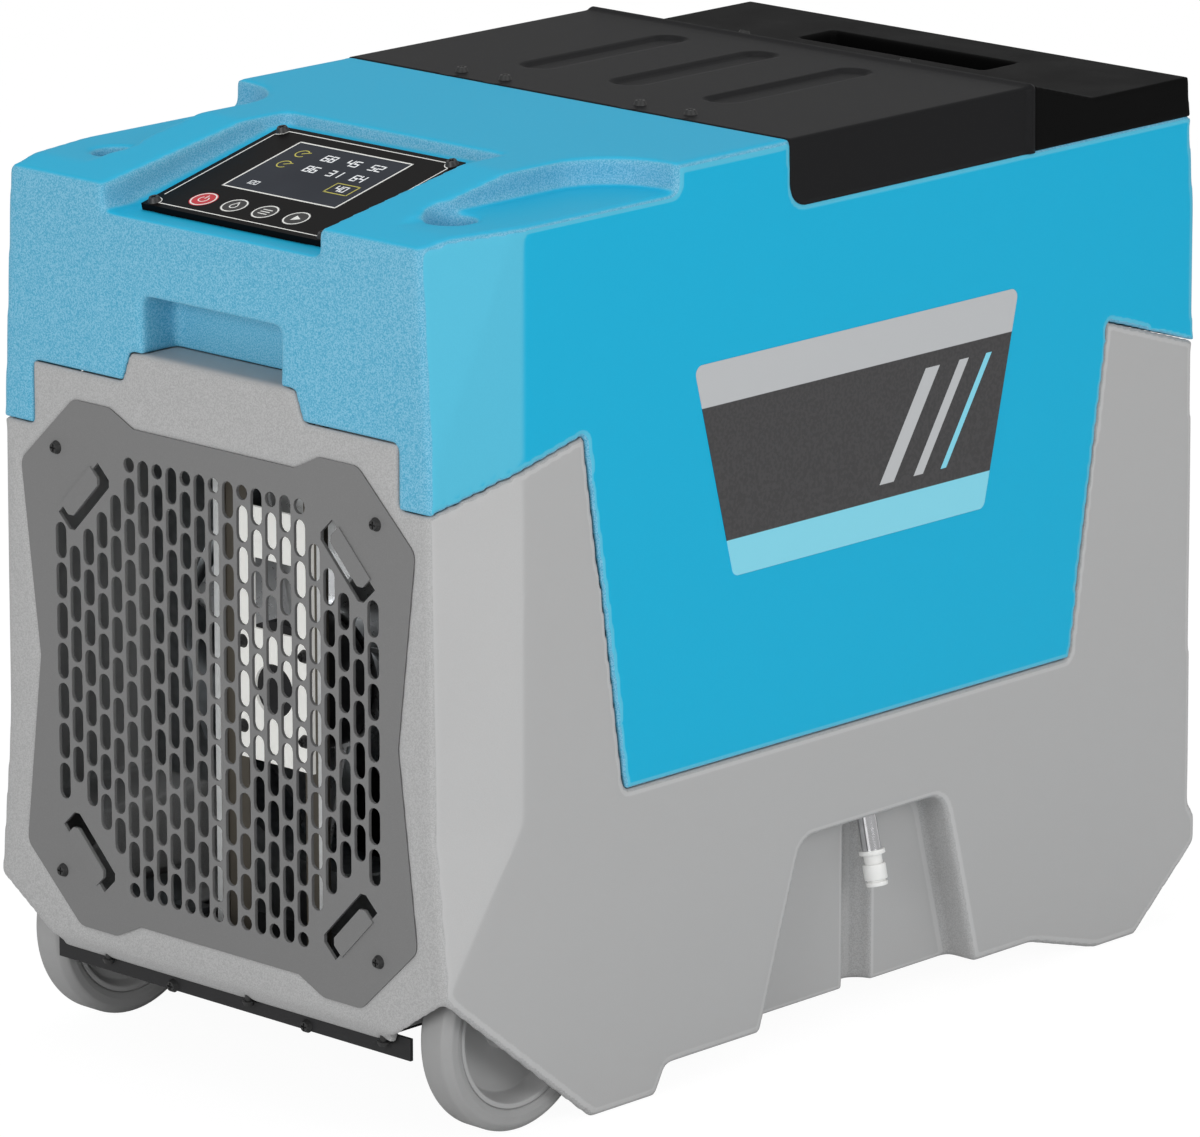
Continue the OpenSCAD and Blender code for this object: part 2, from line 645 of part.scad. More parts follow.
boss_r = 15;
axle_in = plate_x - 12;
axle_head_r = 11;
bracket_t = 3;
module at_axle(x) translate([x, axle_y, axle_z]) rotate([0, 90, 0]) children();
module ring_section(pts) rotate_extrude($fn = 96) polygon(pts);
module tyre() at_axle(tyre_in) ring_section([[rim_r + 0.02, 1], [rim_r + 4, 0], [wheel_r - 4, 0],
  [wheel_r, 4], [wheel_r, tyre_w - 4], [wheel_r - 4, tyre_w], [rim_r + 4, tyre_w], [rim_r + 0.02, tyre_w - 1]]);
boss_in = plate_x + bracket_t + gap - tyre_in;
module hub() at_axle(tyre_in) ring_section([[axle_r + run_fit, boss_in], [boss_r, boss_in], [boss_r, 5],
  [rim_r - 6, 6.5], [rim_r - 3, 1.5], [rim_r, 1.5], [rim_r, tyre_w - 1.5], [rim_r - 3, tyre_w - 1.5],
  [rim_r - 7, 10], [boss_r, 8.5], [boss_r, tyre_w - 4], [axle_r + run_fit, tyre_w - 4]]);
module stub_axle() {
  at_axle(axle_in) cylinder(r = axle_r, h = tyre_out - 4 - axle_in + 0.3);
  at_axle(tyre_out - 4 + 0.3) cylinder(r1 = axle_head_r, r2 = axle_head_r - 2, h = 3);
}
module axle_bracket() difference() {
  union() {
    block([plate_x, axle_y - 24, axle_z - 17], [plate_x + bracket_t, axle_y + 24, axle_z + 24]);
    block([plate_x - 22, axle_y - 24, floor_z], [plate_x + 1, axle_y + 24, floor_z + bracket_t]);
  }
  at_axle(plate_x - 30) cylinder(r = axle_r + run_fit, h = 60);
  block([plate_x - 14, axle_y - 12, floor_z - 1], [plate_x, axle_y + 12, floor_z + 4]);
}
module tyre_right() in_frame() color([0.58, 0.58, 0.58]) tyre();
module tyre_left() in_frame() color([0.58, 0.58, 0.58]) mirror([1, 0, 0]) tyre();
module hub_right() in_frame() color([0.6, 0.6, 0.6]) hub();
module hub_left() in_frame() color([0.6, 0.6, 0.6]) mirror([1, 0, 0]) hub();
module stub_axles() in_frame() color([0.7, 0.7, 0.72]) both_sides() stub_axle();
module axle_brackets() in_frame() color([0.75, 0.75, 0.77]) both_sides() axle_bracket();
module axle_nuts() in_frame() color([0.7, 0.7, 0.72]) both_sides() difference() {
  at_axle(plate_x - 6) cylinder(r = 10, h = 6, $fn = 6);
  at_axle(plate_x - 7) cylinder(r = axle_r + run_fit, h = 8);
}

// ---- Drain: axis points down and outwards, zero at the bay's ceiling ----
fitting_r = 5.6;
coupling_s = 17;
coupling_l = 20.6;
core_r = 5.2;
module drain_axis() translate([drain_x, drain_y, drain_z]) rotate([0, 180 - drain_tilt, 0]) children();
module drain_fitting() in_frame() color([0.85, 0.85, 0.87]) drain_axis() {
  difference() {
    union() {
      translate([0, 0, -fit_back]) cylinder(r = fitting_r, h = fit_back + coupling_s);
      translate([0, 0, -16.4]) cylinder(r = 9.5, h = 4, $fn = 6);
    }
    translate([0, 0, -fit_back - 1]) cylinder(r = 3.6, h = 60);
  }
}
module drain_coupling() in_frame() color([0.95, 0.95, 0.95]) drain_axis() translate([0, 0, coupling_s])
  difference() {
    union() {
      cylinder(r = 7.5, h = 2.6);
      cylinder(r = core_r, h = coupling_l);
      translate([0, 0, coupling_l - 2.4]) cylinder(r = 6.2, h = 2.4);
    }
    translate([0, 0, coupling_l - drain_bore_l]) cylinder(r = drain_bore_r, h = drain_bore_l + 1);
    translate([0, 0, -1]) cylinder(r = 2.2, h = coupling_l);
  }
collar_s = 8;
collar_l = 9;
module release_collar() in_frame() color([0.93, 0.93, 0.93]) drain_axis() translate([0, 0, coupling_s + collar_s])
  ring_section([[core_r + run_fit, 0], [6.4, 0], [6.6, 1], [6.6, collar_l], [core_r + run_fit, collar_l]]);

// A round tube through a list of points, with ball corners
module rod(a, b, r) {
  d = b - a;
  translate(a) rotate([0, acos(d[2] / norm(d)), atan2(d[1], d[0])]) cylinder(r = r, h = norm(d));
}
module tube(pts, r) {
  for (i = [0:len(pts) - 2]) rod(pts[i], pts[i + 1], r);
  for (i = [1:len(pts) - 2]) translate(pts[i]) sphere(r);
}
pump_x = [-113, -51];
pump_y = [332, 404];
pump_z = plate_top + 62;
hose_r = 5.5;
hose_y = 384;
fit_back = 22;             // the fitting's length above the bay
hose_up = 12;
fit_in = [drain_x - fit_back * sin(drain_tilt), drain_y, drain_z + fit_back * cos(drain_tilt)];
hose_end = fit_in + [-hose_up * sin(drain_tilt), 0, hose_up * cos(drain_tilt)];
hose_z = hose_end[2];
hose_x = [pump_x[1] - 16, hose_end[0] - 26];
module drain_hose() in_frame() color([0.8, 0.85, 0.88]) {
  tube([[hose_x[0], hose_y, pump_z], [hose_x[0], hose_y, hose_z], [hose_x[1], hose_y, hose_z],
    [hose_x[1], drain_y, hose_z], [hose_end[0] + hose_r, drain_y, hose_z]], hose_r);
  rod(fit_in, hose_end, hose_r - 0.4);
}
module condensate_pump() in_frame() color([0.2, 0.2, 0.22]) {
  block([pump_x[0], pump_y[0], plate_top], [pump_x[1], pump_y[1], plate_top + 40]);
  block([pump_x[0] + 6, pump_y[0] + 6, plate_top + 40], [pump_x[1] - 6, pump_y[1] - 6, pump_z]);
}
pan_h = 20;
module drain_pan() in_frame() color([0.25, 0.25, 0.27]) difference() {
  block([-coil_w / 2, cond_y + 4, plate_top], [coil_w / 2, evap_y + evap_d, plate_top + pan_h]);
  block([-coil_w / 2 + 2, cond_y + 6, plate_top + 2], [coil_w / 2 - 2, evap_y + evap_d - 2, plate_top + pan_h + 1]);
}

// ---- Refrigeration ----
comp_foot_r = 74;
module at_comp(z) translate([comp_x, comp_y, z]) children();
module feet_places() for (a = [90, 210, 330]) rotate(a) translate([comp_foot_r, 0, 0]) children();
foot_h = comp_z - plate_top;
module compressor() in_frame() color([0.06, 0.06, 0.06]) {
  difference() {
    union() {
      at_comp(comp_z + 12) cylinder(r = comp_r, h = comp_h - 24);
      at_comp(comp_z + 12) rotate_extrude() polygon([[0, -12], [comp_r * 0.6, -12], [comp_r, 0], [0, 0]]);
      at_comp(comp_z + comp_h - 12) rotate_extrude() polygon([[0, 0], [comp_r, 0], [comp_r * 0.6, 12], [0, 12]]);
      at_comp(comp_z) feet_places() translate([-comp_foot_r + 20, -12, 0]) cube([comp_foot_r - 8, 24, 3]);
    }
    at_comp(comp_z - 1) feet_places() cylinder(r = 4.3, h = 5);
  }
}
module compressor_feet() in_frame() color([0.1, 0.1, 0.1]) at_comp(plate_top) feet_places() difference() {
  cylinder(r = 11, h = foot_h);
  translate([0, 0, -1]) cylinder(r = 4.2, h = foot_h + 2);
}
module compressor_bolts() in_frame() color([0.75, 0.75, 0.76]) at_comp(plate_top) feet_places() {
  cylinder(r = 4, h = foot_h + 3);
  translate([0, 0, foot_h + 3]) cylinder(r = 8, h = 4, $fn = 6);
}
bend_r = 9;
tube_r = 4;
rows = 8;
coil_top = coil_z + coil_h;
module coil(y, d) {
  block([-coil_w / 2, y, coil_z], [coil_w / 2, y + d, coil_top]);
  pitch = coil_h / rows;
  both_sides() for (i = [0:rows - 2]) translate([coil_w / 2, y + d / 2, coil_z + pitch * (i + 1)])
    rotate([90, 0, 90]) rotate([0, 0, 90]) bend();
}
module bend() rotate([0, 0, -90]) rotate([90, 0, 0]) intersection() {
  rotate_extrude() translate([bend_r, 0]) circle(tube_r);
  translate([-20, 0, -20]) cube([40, 40, 40]);
}
module evaporator() in_frame() color([0.78, 0.8, 0.82]) coil(evap_y, evap_d);
module condenser() in_frame() color([0.78, 0.8, 0.82]) coil(cond_y, cond_d);
module heat_exchanger() in_frame() color([0.8, 0.82, 0.84]) difference() {
  block([-coil_w / 2, hx_y, coil_z], [coil_w / 2, hx_y + hx_d, coil_top]);
  for (i = [0:9]) block([-coil_w / 2 + 12, hx_y - 1, coil_z + 12 + i * 23.5],
    [coil_w / 2 - 12, hx_y + hx_d + 1, coil_z + 24 + i * 23.5]);
}
frame_t = 1.5;
frame_x = coil_w / 2 + bend_r + tube_r + 3;
module coil_frame() in_frame() color([0.75, 0.76, 0.78]) {
  both_sides() block([frame_x, cond_y - 4, plate_top], [frame_x + frame_t, evap_y + evap_d + 4, coil_top + 12]);
  for (y = [cond_y + 10, evap_y + evap_d - 24])
    block([-frame_x, y, coil_z - frame_t], [frame_x, y + 14, coil_z]);
  block([-frame_x, hx_y + 8, coil_z - frame_t], [frame_x, hx_y + 22, coil_z]);
}
pipe_r = 4;
pipe_z = coil_top + 18;
comp_top = comp_z + comp_h;
module discharge_pipe() in_frame() color([0.72, 0.42, 0.25]) tube([[comp_x, comp_y, comp_top],
  [comp_x, comp_y, pipe_z], [comp_x, cond_y + cond_d / 2, pipe_z], [comp_x, cond_y + cond_d / 2, coil_top]], pipe_r);
module suction_pipe() in_frame() color([0.72, 0.42, 0.25]) tube([[comp_x + 24, comp_y, comp_top],
  [comp_x + 24, comp_y, pipe_z], [comp_x + 24, evap_y + evap_d / 2, pipe_z],
  [comp_x + 24, evap_y + evap_d / 2, coil_top]], pipe_r + 1);
drier_x = -70;
drier_y = cond_y - 66;
drier_l = 56;
drier_r = 13;
module filter_drier() in_frame() color([0.72, 0.42, 0.25]) translate([drier_x, drier_y, pipe_z]) rotate([-90, 0, 0])
  rotate_extrude() polygon([[0, 0], [3, 0], [drier_r, 8], [drier_r, drier_l - 8], [3, drier_l], [0, drier_l]]);
module liquid_line() in_frame() color([0.72, 0.42, 0.25]) {
  tube([[drier_x, drier_y + drier_l, pipe_z], [drier_x, cond_y + cond_d / 2, pipe_z],
    [drier_x, cond_y + cond_d / 2, coil_top]], 3);
  tube([[drier_x, drier_y, pipe_z], [drier_x, drier_y - 12, pipe_z], [drier_x - 24, drier_y - 12, pipe_z],
    [drier_x - 24, evap_y + evap_d / 2, pipe_z], [drier_x - 24, evap_y + evap_d / 2, coil_top]], 3);
}

// ---- Fan ----
shroud_y = 112;
shroud_t = 1.5;
shroud_top = 396;
shroud_x = hw - 10;
shroud_low_x = chan_x - 15;
shroud_r = fan_r + tip_gap;
motor_y = strut_y + 7.5;
motor_r = 38;
motor_l = 34;
shaft_r = 6;
fan_y = motor_y + motor_l + 3;
fan_l = 24;
blades = 7;
module at_fan(y) translate([0, y, fan_z]) rotate([-90, 0, 0]) children();
module fan_shroud() in_frame() color([0.72, 0.74, 0.76]) difference() {
  union() {
    along_y(shroud_y, shroud_y + shroud_t) polygon([[-shroud_low_x, plate_top], [shroud_low_x, plate_top],
      [shroud_low_x, well_z + wall + 1], [shroud_x, well_z + wall + 1], [shroud_x, shroud_top],
      [-shroud_x, shroud_top], [-shroud_x, well_z + wall + 1], [-shroud_low_x, well_z + wall + 1]]);
    at_fan(fan_y) cylinder(r = shroud_r + shroud_t, h = shroud_y + 10 - fan_y, $fn = 96);
  }
  at_fan(fan_y - 1) cylinder(r = shroud_r, h = 60, $fn = 96);
}
module fan_impeller() in_frame() color([0.8, 0.82, 0.84]) at_fan(fan_y) difference() {
  union() {
    cylinder(r = 40, h = fan_l);
    intersection() {
      for (i = [0:blades - 1]) rotate(i * 360 / blades) translate([30, 0, fan_l / 2]) rotate([28, 0, 0])
        translate([0, -26, -0.8]) cube([fan_r, 52, 1.6]);
      cylinder(r = fan_r, h = fan_l, $fn = 96);
    }
  }
  translate([0, 0, -1]) cylinder(r = shaft_r + run_fit, h = fan_l + 2);
}
module fan_motor() in_frame() color([0.15, 0.15, 0.16]) {
  at_fan(seat_y) cylinder(r = strut_x - strut_w - 2, h = motor_y - seat_y + 1);
  at_fan(motor_y) cylinder(r = motor_r, h = motor_l);
  at_fan(motor_y + motor_l - 1) cylinder(r = shaft_r, h = fan_l + 6);
  at_fan(fan_y + fan_l + 0.3) cylinder(r = 10, h = 2.7);
}
strut_t = 1.5;
strut_w = 16;
lip_w = 4;
seat_y = strut_y + 6;      // where the motor plate lies on the struts
module strut() {
  block([strut_x, strut_y, plate_top], [strut_x + lip_w, strut_y + strut_t, shroud_top]);
  block([strut_x, strut_y, plate_top], [strut_x + strut_t, seat_y + strut_t, shroud_top]);
  block([strut_x - strut_w, seat_y, plate_top], [strut_x + strut_t, seat_y + strut_t, shroud_top]);
  block([strut_x, strut_y, shroud_top - 22], [strut_x + strut_t, shroud_y, shroud_top]);
  block([strut_x, shroud_y - strut_t, shroud_top - 22], [strut_x + strut_w, shroud_y, shroud_top]);
  block([strut_x, strut_y, plate_top], [strut_x + strut_w, strut_y + 40, plate_top + strut_t]);
}
module motor_struts() in_frame() color([0.78, 0.8, 0.82]) difference() {
  both_sides() strut();
  motor_screw_places() screw_hole();
}
mount_t = 2;
mount_y = seat_y - mount_t;
mount_h = 143;
mount_half = 30;
module motor_plate() in_frame() color([0.9, 0.9, 0.88]) difference() {
  along_y(mount_y, mount_y + mount_t) difference() {
    translate([-mount_half, fan_z - mount_h * 0.29]) square([2 * mount_half, mount_h]);
    translate([-15.6, fan_z + 33]) square([31.2, 40]);
    translate([0, fan_z]) circle(15);
  }
  motor_screw_places() screw_hole();
}
module motor_screw_places() for (sx = [-1, 1], sz = [-1, 1])
  translate([sx * motor_screw_half, mount_y, fan_z + sz * motor_screw_half]) rotate([90, 0, 0]) children();
module motor_screws() in_frame() color([0.25, 0.25, 0.26]) motor_screw_places() pan_screw(mount_t + strut_t);

// ---- Electrics ----
box_x = [-112, -44];
box_y = [150, 240];
box_h = 150;
module electrical_box() in_frame() color([0.7, 0.72, 0.74])
  block([box_x[0], box_y[0], plate_top], [box_x[1], box_y[1], plate_top + box_h]);
module capacitor() in_frame() color([0.8, 0.8, 0.82]) {
  translate([-92, box_y[1] + 24, plate_top]) cylinder(r = 20, h = 90);
  for (s = [-1, 1]) translate([-92 + 7 * s, box_y[1] + 24, plate_top + 90]) cylinder(r = 2.5, h = 8);
}
module power_inlet() in_frame() color([0.07, 0.07, 0.07]) translate([inlet_x, rear_y, inlet_z])
  rotate([-90, 0, 0]) difference() {
    union() {
      linear_extrude(3) offset(r = 4) square([inlet_w + 8, inlet_h - 2], center = true);
      translate([-inlet_w / 2 + gap, -inlet_h / 2 + gap, -16]) cube([inlet_w - 2 * gap, inlet_h - 2 * gap, 17]);
    }
    difference() {
      translate([-12, -8, -12]) cube([24, 16, 20]);
      for (p = [[-7, 0], [7, 0], [0, -4]]) translate([p[0] - 1, p[1] - 2, -13]) cube([2, 4, 10]);
    }
  }

// ---- Side decals ----
decal_t = 0.3;
decal_y = 196;
decal_l = 268;
decal_z = 282;
decal_h = 122;
decal_slant = 30;
module decal() translate([hw + blue_proud, 0, flare_z])
  rotate([0, -atan(side_draft / (deck_z - flare_z)), 0]) translate([0.02, 0, -flare_z])
    rotate([90, 0, 90]) linear_extrude(decal_t) offset(r = 5) offset(delta = -5)
      polygon([[decal_y + decal_slant, decal_z], [decal_y + decal_l - decal_slant, decal_z],
        [decal_y + decal_l, decal_z + decal_h], [decal_y, decal_z + decal_h]]);
module side_decals() in_frame() color([0.25, 0.27, 0.3]) both_sides() decal();

lower_shell();
upper_shell();
front_grille();
grille_screws();
rear_grille();
rear_grille_screws();
filter_frame();
filter_media();
top_cover();
top_cover_screws();
rear_cap();
rear_cap_screws();
control_panel();
display_window();
display_module();
control_board();
key_power();
key_purge();
key_mode();
key_next();
panel_screws();
base_plate();
base_plate_screws();
tyre_left();
hub_left();
tyre_right();
hub_right();
stub_axles();
axle_brackets();
axle_nuts();
drain_fitting();
drain_coupling();
release_collar();
drain_hose();
condensate_pump();
drain_pan();
compressor();
compressor_feet();
compressor_bolts();
evaporator();
condenser();
heat_exchanger();
coil_frame();
fan_shroud();
fan_impeller();
fan_motor();
motor_struts();
motor_plate();
motor_screws();
discharge_pipe();
suction_pipe();
liquid_line();
filter_drier();
electrical_box();
capacitor();
power_inlet();
side_decals();
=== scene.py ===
"""A portable commercial dehumidifier, dressed for rendering: rounded mouldings, a pressed steel
cover, printed controls and the finishes of every piece."""

import math

import bmesh
import bpy
import numpy as np
from bpy.props import FloatProperty, FloatVectorProperty, IntProperty, PointerProperty
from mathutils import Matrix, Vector
from mathutils.bvhtree import BVHTree


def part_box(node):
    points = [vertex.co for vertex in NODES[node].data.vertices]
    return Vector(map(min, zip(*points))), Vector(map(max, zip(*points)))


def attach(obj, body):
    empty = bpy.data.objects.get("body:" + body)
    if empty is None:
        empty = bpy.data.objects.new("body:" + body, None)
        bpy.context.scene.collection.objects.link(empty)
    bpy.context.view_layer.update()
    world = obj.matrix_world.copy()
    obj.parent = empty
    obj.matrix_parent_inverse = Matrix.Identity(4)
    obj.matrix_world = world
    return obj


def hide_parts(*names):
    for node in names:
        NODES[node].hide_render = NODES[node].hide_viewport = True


bl_info = {
    "name": "Portable dehumidifier",
    "version": (1, 0, 0),
    "blender": (4, 5, 0),
    "location": "View3D > Sidebar > Dehumidifier",
    "description": "Builds the looks of a portable commercial dehumidifier on its CAD frame",
    "category": "Object",
}

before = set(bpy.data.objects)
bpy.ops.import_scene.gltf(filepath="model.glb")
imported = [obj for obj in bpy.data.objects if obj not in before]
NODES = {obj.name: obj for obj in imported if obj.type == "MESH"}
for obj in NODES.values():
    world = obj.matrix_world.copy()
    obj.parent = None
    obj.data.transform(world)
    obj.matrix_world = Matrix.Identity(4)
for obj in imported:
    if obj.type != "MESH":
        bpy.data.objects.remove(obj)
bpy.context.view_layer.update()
MM = 0.001

# Places that the CAD gives
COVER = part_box("top_cover")
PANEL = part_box("control_panel")
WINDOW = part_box("display_window")
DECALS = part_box("side_decals")
PANEL_TILT = math.radians(13.9)
PANEL_SHEET = 4 * MM
COVER_SHEET = 1.6 * MM
COVER_CORNER = 13 * MM
COVER_LEAN = math.atan2(6, 426)  # the draft of the casing's sides
COVER_GROOVES = (-73, -3, 68.7)  # middles in mm
COVER_SCREWS = (-92, -58, 46, 84)  # in mm

# Heights on the panel, up its slope from the front edge
KEY_ROW = 17.4 * MM
WINDOW_FOOT, WINDOW_HEAD = 36 * MM, 97 * MM

# How an eased skin behaves: below HELD from a meeting piece it stays, above FREE it is rounded
REACH = 7 * MM
HELD, FREE = 2 * MM, 6 * MM
PULL, PUSH = 0.5, 0.39


def tint(red, green, blue):
    """A colour written as 0 to 255 on screen, as the linear colour that shaders use."""
    return tuple(c / 3294.6 if c <= 10 else ((c / 255 + 0.055) / 1.055) ** 2.4 for c in (red, green, blue))


def tint4(*rgb):
    """The same with an alpha of 1."""
    return (*tint(*rgb), 1.0)


def solid(colour, share=1.0, lift=0.0):
    """A linear colour with an alpha of 1, made darker or brighter by a share."""
    return (*(min(1, c * share + lift) if share > 1 else c * share for c in colour), 1)


# ---- Shader writing ----
class Value:
    """A socket that takes part in sums, so that shader maths reads as an expression."""

    def __init__(self, shade, socket):
        self.shade = shade
        self.socket = socket

    def _sum(self, operation, *others):
        node = self.shade.add("ShaderNodeMath", {"operation": operation}, dict(enumerate(others)))
        return Value(self.shade, node.outputs[0])

    def __add__(self, other):
        return self._sum("ADD", self, other)

    def __radd__(self, other):
        return self._sum("ADD", other, self)

    def __sub__(self, other):
        return self._sum("SUBTRACT", self, other)

    def __rsub__(self, other):
        return self._sum("SUBTRACT", other, self)

    def __mul__(self, other):
        return self._sum("MULTIPLY", self, other)

    def __rmul__(self, other):
        return self._sum("MULTIPLY", other, self)

    def __truediv__(self, other):
        return self._sum("DIVIDE", self, other)

    def __abs__(self):
        return self._sum("ABSOLUTE", self)

    def __gt__(self, other):
        return self._sum("GREATER_THAN", self, other)

    def __lt__(self, other):
        return self._sum("LESS_THAN", self, other)

    def max(self, other):
        return self._sum("MAXIMUM", self, other)

    def sine(self):
        return self._sum("SINE", self)

    def step(self, low, high):
        """0 below low and 1 above high, smooth between them."""
        node = self.shade.add(
            "ShaderNodeMapRange",
            {"interpolation_type": "SMOOTHSTEP"},
            {"Value": self, "From Min": low, "From Max": high},
        )
        return Value(self.shade, node.outputs["Result"])


class Shade:
    """A material or a world whose nodes are written in Python."""

    def __init__(self, holder, output="ShaderNodeOutputMaterial"):
        """holder is the name of a new material, or a world."""
        self.material = bpy.data.materials.new(holder) if isinstance(holder, str) else holder
        self.material.use_nodes = True
        self.tree = self.material.node_tree
        self.tree.nodes.clear()
        self.output = self.tree.nodes.new(output)

    def add(self, kind, settings=None, inputs=None):
        """One node: its settings first, then the values or links of its sockets."""
        node = self.tree.nodes.new(kind)
        for key, value in (settings or {}).items():
            setattr(node, key, value)
        for key, value in (inputs or {}).items():
            socket = node.inputs[key]
            if isinstance(value, Value):
                self.tree.links.new(value.socket, socket)
            else:
                socket.default_value = value
        return node

    def place(self):
        """The point in the object's own space, in metres."""
        return Value(self, self.add("ShaderNodeTexCoord").outputs["Object"])

    def parts(self, vector):
        node = self.add("ShaderNodeSeparateXYZ", inputs={"Vector": vector})
        return [Value(self, s) for s in node.outputs]

    def point(self, x, y, z):
        return Value(self, self.add("ShaderNodeCombineXYZ", inputs={"X": x, "Y": y, "Z": z}).outputs[0])

    def noise(self, scale, detail=2.0, roughness=0.5, at=None):
        node = self.add(
            "ShaderNodeTexNoise",
            inputs={"Vector": at or self.place(), "Scale": scale, "Detail": detail, "Roughness": roughness},
        )
        return Value(self, node.outputs["Fac"])

    def cells(self, scale, at=None):
        node = self.add("ShaderNodeTexVoronoi", inputs={"Vector": at or self.place(), "Scale": scale})
        return Value(self, node.outputs["Distance"])

    def blend(self, mask, under, over):
        node = self.add("ShaderNodeMix", {"data_type": "RGBA"}, {0: mask, 6: under, 7: over})
        return Value(self, node.outputs[2])

    def bump(self, height, depth, strength=1.0):
        inputs = {"Height": height, "Distance": depth, "Strength": strength}
        return Value(self, self.add("ShaderNodeBump", inputs=inputs).outputs[0])

    def seen_straight(self):
        """1 where the camera looks straight at it, 0 for its light on other things."""
        return Value(self, self.add("ShaderNodeLightPath").outputs["Is Camera Ray"])

    def mixed(self, mask, under, over):
        """Ends in a mix of two shader nodes."""
        mix = self.add("ShaderNodeMixShader", inputs={0: mask})
        self.tree.links.new(under.outputs[0], mix.inputs[1])
        self.tree.links.new(over.outputs[0], mix.inputs[2])
        self.tree.links.new(mix.outputs[0], self.output.inputs[0])
        return self.material

    def finish(self, colour, rough, normal=None, **sockets):
        """The principled surface; spare sockets are named with underscores for spaces."""
        inputs = {"Base Color": colour, "Roughness": rough}
        if normal is not None:
            inputs["Normal"] = normal
        for key, value in sockets.items():
            inputs[key.replace("_", " ").title().replace("Ior", "IOR")] = value
        shader = self.add("ShaderNodeBsdfPrincipled", inputs=inputs)
        self.tree.links.new(shader.outputs[0], self.output.inputs[0])
        return self.material


def moulded(name, side, lit_facet, dark, light):
    """Rotomoulded polyethylene: even on the sides, paler and speckled where it faces forward or up. The
    paleness is a painted sheen for the light from the front, and the lighter facet colour is painted light
    too.
    """
    s = Shade(name)
    facing_x, _, facing_z = s.parts(Value(s, s.add("ShaderNodeNewGeometry").outputs["Normal"]))
    turn = abs(facing_x)
    outside = abs(s.parts(s.place())[0]).step(0.14, 0.15)  # not the walls of the recesses
    ahead = 1 - turn.step(0.90, 0.95) * outside
    edge = 1 - turn.step(0.994, 0.999) * outside
    up = facing_z.step(0.5, 0.95)
    fine = s.noise(1350, 2, 0.65)
    # The pale speckle: its grain is the plastic's own, its paleness a painted sheen
    speckle_and_sheen = s.blend(fine.step(0.36, 0.64), solid(dark), solid(light))
    # The corner facets get the lighter facet colour, painted light from the front
    shade = s.blend(edge * (1 - up), solid(side), s.blend(fine * 0.3, solid(lit_facet), solid(dark)))
    # Faces that look forward get the pale speckle, a painted sheen
    shade = s.blend(ahead * (1 - up * 0.95), shade, speckle_and_sheen)
    broad = s.noise(7, 2)
    shade = s.blend((broad - 0.5).max(0) * 0.2, shade, solid(side, 0.85))
    height = fine * 0.7 + s.noise(1700, 2) * 0.3
    return s.finish(shade, 0.08 * fine + 0.44, s.bump(height, 0.0002, 0.5), specular_ior_level=0.2)


def powder(name, colour, rough=0.5, grain=0.3, gloss=0.3):
    """Fine textured powder coat on sheet steel."""
    s = Shade(name)
    fine = s.noise(2300, 3, 0.6)
    shade = s.blend(fine.step(0.45, 0.75) * grain, solid(colour), solid(colour, 1.5, 0.01))
    normal = s.bump(fine, 0.00012, 0.6)
    return s.finish(shade, rough + 0.12 * (fine - 0.5), normal, specular_ior_level=gloss)


def moulding(name, colour, rough=0.45, depth=0.0001, gloss=0.4, glow=0.0):
    """Injection moulded plastic with a fine spark-eroded grain; glow gives it a light of its own, a painted
    light.
    """
    s = Shade(name)
    fine = s.noise(2600, 3, 0.6)
    broad = s.noise(30, 2)
    shade = s.blend((broad - 0.45).max(0) * 0.4, solid(colour), solid(colour, 0.8))
    return s.finish(shade, rough + 0.14 * (broad - 0.5), s.bump(fine, depth, 0.5), specular_ior_level=gloss,
                    emission_color=solid(colour), emission_strength=glow)


def bare_metal(name, colour, rough=0.3, brush=(1, 1, 1), spangle=0.0, flow=900):
    """Bright metal: brushed along one direction, or with the spangle of hot-dip zinc."""
    s = Shade(name)
    x, y, z = s.parts(s.place())
    lines = s.noise(flow, 2, 0.6, at=s.point(x * brush[0], y * brush[1], z * brush[2]))
    shade = s.blend(lines.step(0.3, 0.7) * 0.35, solid(colour), solid(colour, 0.75))
    if spangle:
        shade = s.blend(s.cells(150).step(0.2, 0.7) * spangle, shade, solid(colour, 0.6))
    return s.finish(shade, rough + 0.2 * (lines - 0.5), s.bump(lines, 0.00005, 0.4), metallic=1.0)


def ribbed_fins(name, colour, pitch):
    """Rows of thin upright fins; the dark bands between them are painted shade in the gaps."""
    s = Shade(name)
    x, _, _ = s.parts(s.place())
    wave = (x * (2 * math.pi / pitch)).sine()
    # The dark bands between the fins are painted shade
    shade = s.blend(wave.step(-0.2, 0.6), solid(colour, 0.25), solid(colour))
    return s.finish(shade, 0.35 + 0.1 * s.noise(400), s.bump(wave, pitch * 0.4, 0.8), metallic=0.8)


def pleated(name, colour):
    """Filter paper with a fine weave and some dust."""
    s = Shade(name)
    weave = s.noise(3000, 2) * 0.5 + s.noise(700, 2) * 0.5
    dust = s.noise(60, 3)
    shade = s.blend((dust - 0.45).max(0) * 0.8, solid(colour), solid(colour, 0.7))
    return s.finish(shade, 0.85 + 0.1 * (weave - 0.5), s.bump(weave, 0.0003))


def soft_rubber(name, colour, rough=0.6):
    """Moulded rubber, paler where it is scuffed."""
    s = Shade(name)
    fine = s.noise(1900, 3, 0.65)
    scuffs = s.noise(45, 3)
    shade = s.blend((scuffs - 0.5).max(0) * 0.9, solid(colour), solid(colour, 1.25))
    return s.finish(shade, rough + 0.2 * (scuffs - 0.5), s.bump(fine, 0.00018, 0.6))


def circuit(name):
    """Green board with a grid of tracks."""
    s = Shade(name)
    x, y, _ = s.parts(s.place())
    tracks = ((x * 900).sine() * (y * 900).sine()).step(0.4, 0.5)
    shade = s.blend(tracks * 0.7, tint4(20, 82, 44), tint4(46, 120, 66))
    return s.finish(shade, 0.4 - 0.1 * tracks)


